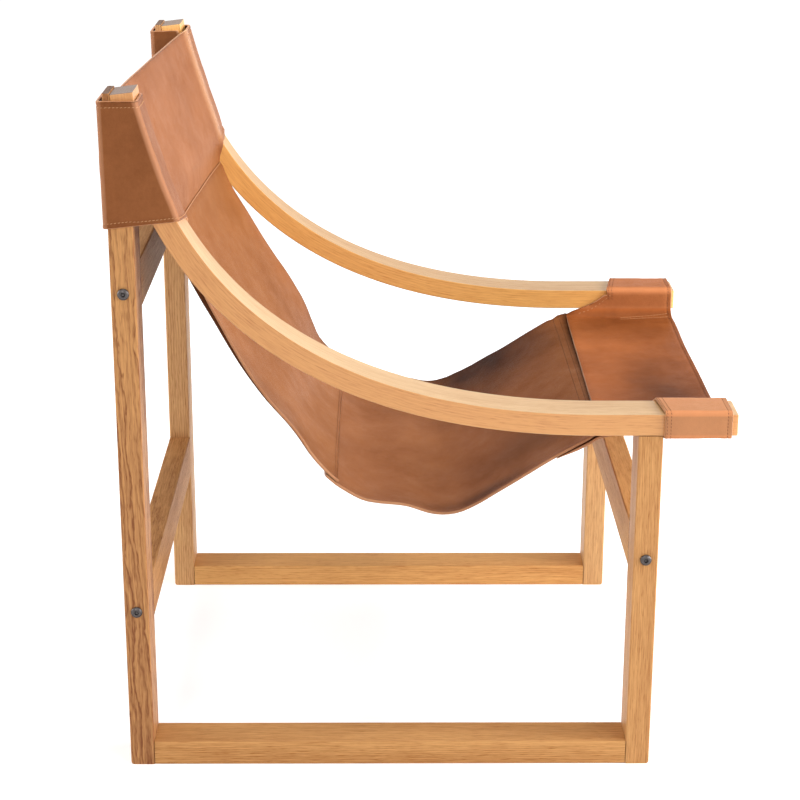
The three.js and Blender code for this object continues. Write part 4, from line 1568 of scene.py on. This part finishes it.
def ends_along(side):
    """For each point of the section: x, z, and where its line meets the hem and the end."""
    for k, (x, z) in enumerate(flat_and_curl(side, wall_rise) + rounds[side]):
        hem = hem_y(np.clip(x, -sheet_half, sheet_half))
        yield x, z, hem, inner_end if k < base_size else sleeve_end(x, z)


def front_row(side, share):
    return [(x, hem + share * (end - hem), z) for x, z, hem, end in ends_along(side)]


def gusset_row(side, y):
    return [(x, y, z) for x, z in flat_and_curl(side, min(rise_at(y), wall_rise))]


def full_row(make, at):
    """Both halves of a row as one, from the far end on the right to that on the left."""
    return [*make(-1, at)[::-1], *make(1, at)[1:]]


sleeve_part = np.array([full_row(front_row, share) for share in row_shares])
gusset_part = np.array([full_row(gusset_row, front_y + offset) for offset in rear_offsets])
front_rows = np.full((len(row_shares) + len(rear_offsets), sleeve_part.shape[1], 3), np.nan)
front_rows[: len(row_shares)] = sleeve_part
pad = len(rounds[1])
front_rows[len(row_shares) :, pad:-pad] = gusset_part
front_ok = ~np.isnan(front_rows[..., 0])
front_rows = rippled(front_rows)


# %% Skin the front panel
def front_painted_light(y, x, z):
    """Darker on the flat part, with painted shade from the near arm deepest on its near half, and paler
    on the sleeves, most on the near one.
    """
    flat = smooth_step(panel_height + 12 * mm - z, 0, 10 * mm)
    near = spot(y, x, (front_y - 0.03, -0.12), (0.06, 0.13))
    paler = 0.26 * smooth_step(-x, 0, sheet_half) + 0.1
    return (0.36 + 0.5 * near) * flat - paler * (1 - flat)


def front_panel():
    faces = grid_faces(
        *front_rows.shape[:2], lambda i, j: front_ok[i : i + 2, j : j + 2].all()
    )
    y = np.nan_to_num(front_rows[..., 1])
    x = np.nan_to_num(front_rows[..., 0])
    away = y - hem_y(np.clip(x, -sheet_half, sheet_half))
    lift = pressed(away, 0.5 * mm, 0.3 * mm, (4 * mm, 8 * mm), 40 * mm)
    # Bent leather lightens along the front sleeves' corners, with a painted highlight where they turn
    # sharply
    bend = np.zeros(front_rows.shape[:2])
    bend[: len(row_shares)] = turning(sleeve_part[8])[None]
    return hide(
        "front_hide",
        np.nan_to_num(front_rows),
        faces,
        hide_finishes("front_hide", (1.3, 0.2, 0.4), (1.2, 1.0, 0.82), 1.12),
        lift,
        bend,
        front_painted_light(y, x, np.nan_to_num(front_rows[..., 2])),
    )


front = front_panel()
finish_panel(
    front, "front_panel", front_rows, "stretched", ["right_bent_arm", "left_bent_arm"]
)


# %% The flap that backs the front seam
# It droops a little below the seat and its rear end is pared thin.
flap_end = 80 * mm
flap_rows = crowded(2 * mm, flap_end, 8 * mm)
flap_droop = 1.5 * mm * smooth_step(flap_rows, 0, sheet_lap) * (1 - (flap_rows / flap_end) ** 2)
flap_pared = -2.4 * mm * (1 - smooth_step(flap_end - flap_rows, 1 * mm, 30 * mm))
flap_back = lap_step + flap_droop + flap_pared
flap_grid = sling_place(flap_rows[:, None], sling_columns[None], flap_back[:, None])
# Its lower side is seen, so both sides have the smooth grain
# Painted light: the flap's tint is raised well above the other panels' to lighten it where it lies in
# shade under the seat
flap_grain, _, flap_edge = hide_finishes("front_seam_flap", (0.7, 0.9, 0.1), (1.6, 1.2, 1.1))
flap_finishes = [flap_grain, flap_grain, flap_edge]
flap = hide(
    "front_seam_flap",
    flap_grid,
    grid_faces(*flap_grid.shape[:2]),
    flap_finishes,
    np.broadcast_to(flap_pared[:, None], flap_grid.shape[:2]),
)
finish_panel(flap, None, flap_grid, "hung", ["seat_panel", "front_panel"])

# %% [markdown]
# ## Stitches
#
# Every hem and seam is sewn with heavy thread. A stitch is a small, slightly slanted
# grain of thread between two needle holes, and there are hundreds of them, so they are
# instances: one tree takes a line with the skin's direction stored on it, spaces points
# along it, and sets a stitch and a hole at each. Realize Instances then makes them real
# faces. The rows are laid by dropping guide points on the finished leather, so that the
# thread lies on it whatever its shape.


# %% Geometry Nodes tree: a row of stitches
def stitch_tree():
    tree, given, result = new_tree(
        "stitch_row",
        [
            ("Pitch", "Float", 0.0044),
            ("Length", "Float", 0.0034),
            ("Thread", "Float", 0.00035),
            ("Slant", "Float", 0.14),
            ("Thread Finish", "Material", None),
            ("Hole Finish", "Material", None),
        ],
    )
    line = put(tree, "GeometryNodeMeshToCurve", {"Mesh": given["Geometry"]})
    spaced = put(
        tree,
        "GeometryNodeResampleCurve",
        {"Curve": line.outputs[0], "Length": given["Pitch"]},
        mode="LENGTH",
    )
    skin = put(tree, "GeometryNodeInputNamedAttribute", {"Name": "skin"}, data_type="FLOAT_VECTOR")
    tangent = put(tree, "GeometryNodeInputTangent")
    facing = put(
        tree,
        "FunctionNodeAxesToRotation",
        {"Primary Axis": skin.outputs["Attribute"], "Secondary Axis": tangent.outputs[0]},
        primary_axis="Z",
        secondary_axis="X",
    )
    slanted = join_vector(tree, Z=given["Slant"])
    turn = put(tree, "FunctionNodeEulerToRotation", {"Euler": slanted})
    slant = put(
        tree,
        "FunctionNodeRotateRotation",
        {"Rotation": facing.outputs[0], "Rotate By": turn.outputs[0]},
        rotation_space="LOCAL",
    )
    half = math_node(tree, "MULTIPLY", given["Length"], 0.5)
    flat = math_node(tree, "MULTIPLY", given["Thread"], 0.85)
    size = join_vector(tree, X=half, Y=given["Thread"], Z=flat)
    grain = put(tree, "GeometryNodeMeshUVSphere", {"Segments": 8, "Rings": 6, "Radius": 1.0})
    threads = put(
        tree,
        "GeometryNodeInstanceOnPoints",
        {
            "Points": spaced.outputs[0],
            "Instance": grain.outputs["Mesh"],
            "Rotation": slant.outputs[0],
            "Scale": size,
        },
    )
    # Each hole is a flat dark lens on the skin, painted shade in place of a needle hole's recess
    pit_size = vector_node(tree, "SCALE", (1.3, 1.3, 0.35), scale=given["Thread"])[0]
    pit = put(tree, "GeometryNodeMeshUVSphere", {"Segments": 6, "Rings": 4, "Radius": 1.0})
    pits = put(
        tree,
        "GeometryNodeInstanceOnPoints",
        {
            "Points": spaced.outputs[0],
            "Instance": pit.outputs["Mesh"],
            "Rotation": facing.outputs[0],
            "Scale": pit_size,
        },
    )
    ahead = join_vector(tree, X=math_node(tree, "MULTIPLY", given["Pitch"], 0.5))
    shifted = put(
        tree,
        "GeometryNodeTranslateInstances",
        {"Instances": pits.outputs[0], "Translation": ahead, "Local Space": True},
    )
    both = put(tree, "GeometryNodeJoinGeometry")
    for branch, finish in ((threads, "Thread Finish"), (shifted, "Hole Finish")):
        real = put(tree, "GeometryNodeRealizeInstances", {"Geometry": branch.outputs[0]})
        painted = put(
            tree,
            "GeometryNodeSetMaterial",
            {"Geometry": real.outputs[0], "Material": given[finish]},
        )
        tree.links.new(painted.outputs[0], both.inputs[0])
    smooth = put(tree, "GeometryNodeSetShadeSmooth", {"Geometry": both.outputs[0]})
    tree.links.new(smooth.outputs[0], result["Geometry"])
    return tree


stitches = stitch_tree()
print("stitch tree holds", len(stitches.nodes), "nodes")


# %% Thread and needle holes
def twisted_thread(name, pale, dark):
    """Thread looks fuzzy: fine noise for its fibres, slow noise for worn stretches."""
    material, tree, shader = new_material(name, roughness=0.7, specular_ior_level=0.25)
    place = object_place(tree)
    fuzz = stretched_noise(tree, place, (1400, 1400, 1400), 2)
    length = stretched_noise(tree, place, (40, 40, 40), 2)
    tone = math_node(tree, "MULTIPLY_ADD", length, 0.9, -0.5)
    tone = math_node(tree, "MULTIPLY_ADD", fuzz, 0.9, tone)
    colour = mix_colour(tree, tone, pale, dark)
    fill(tree, shader, {"Base Color": colour, "Normal": bumped(tree, fuzz, 0.0002, 0.6)})
    return material


pale_thread = twisted_thread("pale_thread", linear(214, 164, 116), linear(168, 112, 70))
brown_thread = twisted_thread("brown_thread", linear(128, 78, 48), linear(80, 46, 28))
# Needle holes are painted shade: a dark finish for the hole lenses, and for the seat's rows along the
# front seam
needle_hole = twisted_thread("needle_hole", linear(74, 42, 26), linear(44, 26, 16))


def drop_on(piece, guides):
    """Moves guide points to the nearest skin, with the skin's direction there."""
    mesh = piece.data
    tree = BVHTree.FromPolygons(
        [v.co for v in mesh.vertices], [tuple(p.vertices) for p in mesh.polygons]
    )
    places, facings = [], []
    for guide in guides:
        place, facing, _, _ = tree.find_nearest(Vector(guide))
        places.append(place + facing * 0.1 * mm)
        facings.append(tuple(facing))
    return places, facings


def sew(name, piece, rows, thread, **sizes):
    """One mesh with every row of stitches on one panel."""
    places, facings, edges = [], [], []
    for guides in rows:
        found, normals = drop_on(piece, guides)
        start = len(places)
        places += found
        facings += normals
        edges += [(start + i, start + i + 1) for i in range(len(found) - 1)]
    mesh = bpy.data.meshes.new(name)
    mesh.from_pydata([tuple(p) for p in places], edges, [])
    store(mesh, "skin", facings)
    made = add_object(name, mesh)
    run_tree(made, stitches, thread_finish=thread, hole_finish=needle_hole, **sizes)
    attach(made, "root")
    print(name, len(made.data.polygons), "faces in", len(rows), "rows")
    return made


# %% Rows round the back sleeves
guide_lift = 4 * mm


def head_hem(side, reach):
    """Guides round a sleeve. They start past the sewn end and stop before the panel."""
    loop = head_loop(reach, side)
    middle_y = (rear_y + arm_front_at(loop[-9][2])) / 2
    out = loop - np.array([side * arm_middle, middle_y, 0])
    out[:, 2] = 0
    return loop[8:-2] + unit(out[8:-2]) * guide_lift


head_rows = [
    head_hem(side, reach)
    for side in (-1, 1)
    for reach in (reach_sleeve + hem_gap, sling_length - top_hem_gap)
]
sew("head_stitches", head, head_rows, pale_thread)


# %% Rows across the sling
def across_row(reach, inset=4 * mm, count=90):
    """Guides from edge to edge, held a little off the leather's upper side."""
    x = np.linspace(-sheet_half + inset, sheet_half - inset, count)
    ty, tz = (np.interp(reach, edge_reach, edge_slope[:, k]) for k in (0, 1))
    return sling_place(reach, x) + np.array([0, -tz, ty]) * guide_lift


# The seat's rows use the dark hole finish, painted shade along the front seam
sew(
    "seat_stitches",
    seat,
    [across_row(reach_front_seam + 8 * mm), across_row(reach_front_seam + 16 * mm)],
    needle_hole,
)
sew("lower_back_stitches", lower_back, [across_row(reach_back_seam + 5 * mm)], brown_thread)


# %% Rows on the front panel and its sleeves
# Points at each end of the section that lie on the flap, where no stitch is seen
hidden_points = 14


def front_guide(side, gap, from_end=False):
    """Round the whole section at one distance from the hem or from the sleeve's back end."""
    arm_centre = np.array([side * arm_middle, arm_axis])
    out = []
    for k, (x, z, hem, end) in enumerate(ends_along(side)):
        y = end - gap if from_end else hem + gap
        if abs(x) < flat_half:
            push = (0, guide_lift)
        elif k < base_size:
            push = (-side * 3 * mm, 2 * mm)
        else:
            push = unit(np.array([x, z]) - arm_centre) * guide_lift
        out.append((x + push[0], y, z + push[1]))
    return out


def front_rows_to_sew():
    """The hem and the back ends of the sleeves, up to where the hidden flap begins."""
    end = base_size + len(rounds[1]) - hidden_points
    right = front_guide(-1, hem_gap)[:end]
    left = front_guide(1, hem_gap)[:end]
    rows = [right[::-1] + left[1:]]
    for side in (-1, 1):
        for gap in (3 * mm, 7.5 * mm):
            rows.append(front_guide(side, gap, True)[base_size - 4 : end])
    return rows


def foot_rows():
    """Two rows along the foot of each sleeve, which climb a little towards the front."""
    rows = []
    count, spread = 14, 8 * mm
    ys = np.linspace(front_y - 77 * mm, front_y - 11 * mm, count)
    for side in (-1, 1):
        for out in (1 * mm, -5 * mm):
            xs = flat_half + out + spread * np.linspace(1, 0, count)
            climb = np.maximum(xs - flat_half, 0) ** 2 / (2 * curl)
            zs = panel_z(side * xs) + climb + 2 * mm
            rows.append(list(zip(side * xs, ys, zs)))
    return rows


def gusset_guide(inset):
    """A line inside the gusset's sloping edge."""
    fine = smooth_line(gusset_line, 8)
    slope = unit(np.gradient(fine, axis=0))
    moved = fine + np.stack([slope[:, 1], -slope[:, 0]], 1) * inset
    moved = moved[(fine[:, 1] > 1 * mm) & (moved[:, 1] > -1 * mm)]
    return [(wall_x - 5 * mm, y + front_y, panel_height + max(rise, 0)) for y, rise in moved]


sew("front_stitches", front, front_rows_to_sew(), brown_thread, pitch=4.2 * mm, length=3 * mm)
sew("sleeve_foot_stitches", front, foot_rows(), pale_thread)
gusset_rows = [[(side * x, y, z) for x, y, z in gusset_guide(6 * mm)] for side in (-1, 1)]
sew("gusset_stitches", front, gusset_rows, pale_thread, pitch=6.2 * mm, length=3.6 * mm)

# %% [markdown]
# ## Bolts
#
# The frame is held by six button-head bolts. A head is a shallow dome with a rounded rim
# and a six-sided socket. It is drawn as rings, from the tip of the shank over the dome to
# the bottom of the socket, and the rings turn six-sided at the socket's mouth. One small
# tree sets a copy at each place with its head to the outside.


# %% One bolt as rings
def ring(radius, height, corners=0.0, count=48):
    """A ring that is round at corners 0 and six-sided at corners 1."""
    angles = np.arange(count) * 2 * math.pi / count
    sector = (angles + math.pi / 6) % (math.pi / 3) - math.pi / 6
    hexagon = math.cos(math.pi / 6) / np.cos(sector)
    reach = radius * (1 - corners + corners * hexagon)
    return np.stack([reach * np.cos(angles), reach * np.sin(angles), np.full(count, height)], 1)


def bolt_mesh():
    """Rings from the tip of the shank over the dome to the bottom of the socket."""
    head, shank, shank_length = 7 * mm, 4 * mm, 100 * mm
    dome, rim = 4.4 * mm, 0.9 * mm
    socket, socket_depth = 2.9 * mm, 2.6 * mm
    rings = [ring(0.75 * shank, -shank_length), ring(shank, 1 * mm - shank_length), ring(shank, 0)]
    rings += [ring(head - 0.3 * mm, 0), ring(head, 0.3 * mm), ring(head, rim)]
    for a in np.linspace(0.22, 1.1, 8):
        rings.append(ring(head * math.cos(a) + 0.1 * mm, rim + (dome - rim) * math.sin(a)))
    top = rings[-1][0, 2]
    rings += [
        ring(socket + 0.35 * mm, top, 0.6),
        ring(socket + 0.15 * mm, top - 0.05 * mm, 0.9),
        ring(socket, top - 0.25 * mm, 1.0),
        ring(socket, top - socket_depth, 1.0),
        ring(0.4 * mm, top - 3.2 * mm, 0.0),
    ]
    count = len(rings[0])
    points = [tuple(p) for r in rings for p in r]
    faces = []
    for i in range(len(rings) - 1):
        for j in range(count):
            k = (j + 1) % count
            a, b = i * count, (i + 1) * count
            faces.append((a + j, a + k, b + k, b + j))
    faces.append(tuple(range(count))[::-1])
    faces.append(tuple((len(rings) - 1) * count + j for j in range(count)))
    mesh = bpy.data.meshes.new("button_bolt")
    mesh.from_pydata(points, [], faces)
    mesh.polygons.foreach_set("use_smooth", [len(f) == 4 for f in faces])
    return mesh


def nickel_steel(name, tint, rough):
    material, tree, shader = new_material(name, metallic=1.0)
    place = object_place(tree)
    soil = stretched_noise(tree, place, (420, 420, 420), 4, rough=0.65)
    fine = stretched_noise(tree, place, (2600, 2600, 2600), 2)
    soiled = math_node(tree, "MULTIPLY_ADD", soil, 1.6, -0.5, clamp=True)
    surface = {
        "Base Color": mix_colour(tree, soiled, tint, tinted(tint, (0.55, 0.55, 0.55))),
        "Roughness": math_node(tree, "MULTIPLY_ADD", soil, 0.25, rough),
        "Normal": bumped(tree, fine, 0.00005, 0.4),
    }
    fill(tree, shader, surface)
    return material


def bolt_tree():
    tree, given, result = new_tree(
        "bolts_in_place", [("Bolt", "Object", None), ("Steel", "Material", None)]
    )
    aim = put(tree, "GeometryNodeInputNamedAttribute", {"Name": "aim"}, data_type="FLOAT_VECTOR")
    facing = put(
        tree, "FunctionNodeAlignRotationToVector", {"Vector": aim.outputs["Attribute"]}, axis="Z"
    )
    shape = put(tree, "GeometryNodeObjectInfo", {"Object": given["Bolt"], "As Instance": True})
    placed = put(
        tree,
        "GeometryNodeInstanceOnPoints",
        {
            "Points": given["Geometry"],
            "Instance": shape.outputs["Geometry"],
            "Rotation": facing.outputs[0],
        },
    )
    real = put(tree, "GeometryNodeRealizeInstances", {"Geometry": placed.outputs[0]})
    painted = put(
        tree, "GeometryNodeSetMaterial", {"Geometry": real.outputs[0], "Material": given["Steel"]}
    )
    tree.links.new(painted.outputs[0], result["Geometry"])
    return tree


# %% Six bolts
bolt_nodes = sorted(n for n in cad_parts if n.endswith("_bolt"))
bolt_places, bolt_aims = [], []
for node in bolt_nodes:
    low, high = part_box(node)
    side = -1 if low.x + high.x < 0 else 1
    bolt_places.append((side * (outer_x + timber_gap), (low.y + high.y) / 2, (low.z + high.z) / 2))
    bolt_aims.append((side, 0, 0))
bolt_steel = nickel_steel("nickel_bolt", linear(86, 81, 80), 0.24)
bolt_pattern = add_object("bolt_pattern", bolt_mesh())
bolts = edge_mesh("frame_bolts", bolt_places, aim=np.array(bolt_aims, float))
run_tree(bolts, bolt_tree(), bolt=bolt_pattern, steel=bolt_steel)
bpy.data.objects.remove(bolt_pattern)
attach(bolts, "root")
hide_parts(*bolt_nodes)
print("bolts", len(bolt_nodes), "faces", len(bolts.data.polygons))

# %% Nuts and dowels inside the joints
nut_finish = nickel_steel("zinc_nut", linear(186, 188, 190), 0.34)
dowel_finish = oak_material(
    "dowel_beech", "x", (0.3, 0.2, 0.0), (linear(226, 196, 150), linear(196, 158, 112)), 0.002
)
for node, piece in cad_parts.items():
    finish = nut_finish if "nut" in node else dowel_finish if "dowel" in node else None
    if finish:
        give_finish(piece, finish)

# %% [markdown]
# ## Floor, light and backdrop
#
# The picture was taken in a white studio. A large soft light stands in front of the
# chair and another behind it, weaker ones on the side of the camera and overhead. The
# floor is a plain pale sheet that takes the chair's shadow. The surroundings are white to
# the camera and to reflections, so surfaces seen at a flat angle, like the tops of the
# arms, are bleached a little. In the light that falls on the chair they count for
# little, so its shading comes from the lamps and from the floor.


# %% Soft boxes
def soft_box(name, place, aim, size, watts):
    lamp = bpy.data.lights.new(name, "AREA")
    lamp.shape = "RECTANGLE"
    lamp.size, lamp.size_y = size
    lamp.energy = watts
    made = add_object(name, lamp)
    made.location = place
    direction = Vector(aim) - Vector(place)
    made.rotation_mode = "QUATERNION"
    made.rotation_quaternion = direction.to_track_quat("-Z", "Y")
    made.visible_camera = False


middle_of_chair = (0, 0, 0.45)
soft_box("front_box", (-0.4, -3.0, 1.3), middle_of_chair, (1.8, 1.8), 136)
soft_box("camera_box", (-2.3, -2.3, 1.7), middle_of_chair, (1.6, 1.6), 46)
soft_box("side_box", (-3.0, 0.9, 2.0), (0, 0.1, 0.7), (1.2, 1.2), 24)
soft_box("rear_box", (-0.2, 3.0, 1.4), middle_of_chair, (1.8, 1.8), 72)
soft_box("top_box", (0, 0, 3.2), middle_of_chair, (2.4, 2.4), 60)


# %% White surroundings and a floor that keeps the shadow
def seen_directly(tree):
    path = put(tree, "ShaderNodeLightPath")
    seen = math_node(
        tree, "MAXIMUM", path.outputs["Is Camera Ray"], path.outputs["Is Transmission Ray"]
    )
    return math_node(tree, "MAXIMUM", seen, path.outputs["Is Glossy Ray"])


surround = 0.04
glow_distances, glow_strengths = (0.5, 3.5), (0.32, 1.0)


def white_world():
    world = bpy.data.worlds.new("studio")
    bpy.context.scene.world = world
    world.use_nodes = True
    tree = world.node_tree
    tree.nodes.clear()
    seen = seen_directly(tree)
    soft = put(tree, "ShaderNodeBackground", {"Color": (1, 1, 1, 1), "Strength": surround})
    white = put(tree, "ShaderNodeBackground", {"Color": (1, 1, 1, 1), "Strength": 1.0})
    chosen = put(tree, "ShaderNodeMixShader", {0: seen, 1: soft.outputs[0], 2: white.outputs[0]})
    put(tree, "ShaderNodeOutputWorld", {"Surface": chosen.outputs[0]})


def pale_floor():
    """Matt paper that also glows where it is seen, less near the chair so shadows show."""
    mesh = bpy.data.meshes.new("studio_floor")
    reach = 30.0
    corners = [(-reach, -reach, 0), (reach, -reach, 0), (reach, reach, 0), (-reach, reach, 0)]
    mesh.from_pydata(corners, [], [(0, 1, 2, 3)])
    floor = add_object("studio_floor", mesh)
    material = bpy.data.materials.new("pale_floor")
    material.use_nodes = True
    tree = material.node_tree
    tree.nodes.clear()
    paper = put(tree, "ShaderNodeBsdfDiffuse", {"Color": (0.9, 0.9, 0.9, 1)})
    away = vector_node(tree, "LENGTH", object_place(tree))["Value"]
    lift = mapped(tree, away, glow_distances, glow_strengths)
    strength = math_node(tree, "MULTIPLY", lift, seen_directly(tree))
    glow = put(tree, "ShaderNodeEmission", {"Strength": strength})
    both = put(tree, "ShaderNodeAddShader", {0: paper.outputs[0], 1: glow.outputs[0]})
    put(tree, "ShaderNodeOutputMaterial", {"Surface": both.outputs[0]})
    mesh.materials.append(material)
    return floor


white_world()
floor = pale_floor()
print("studio ready")
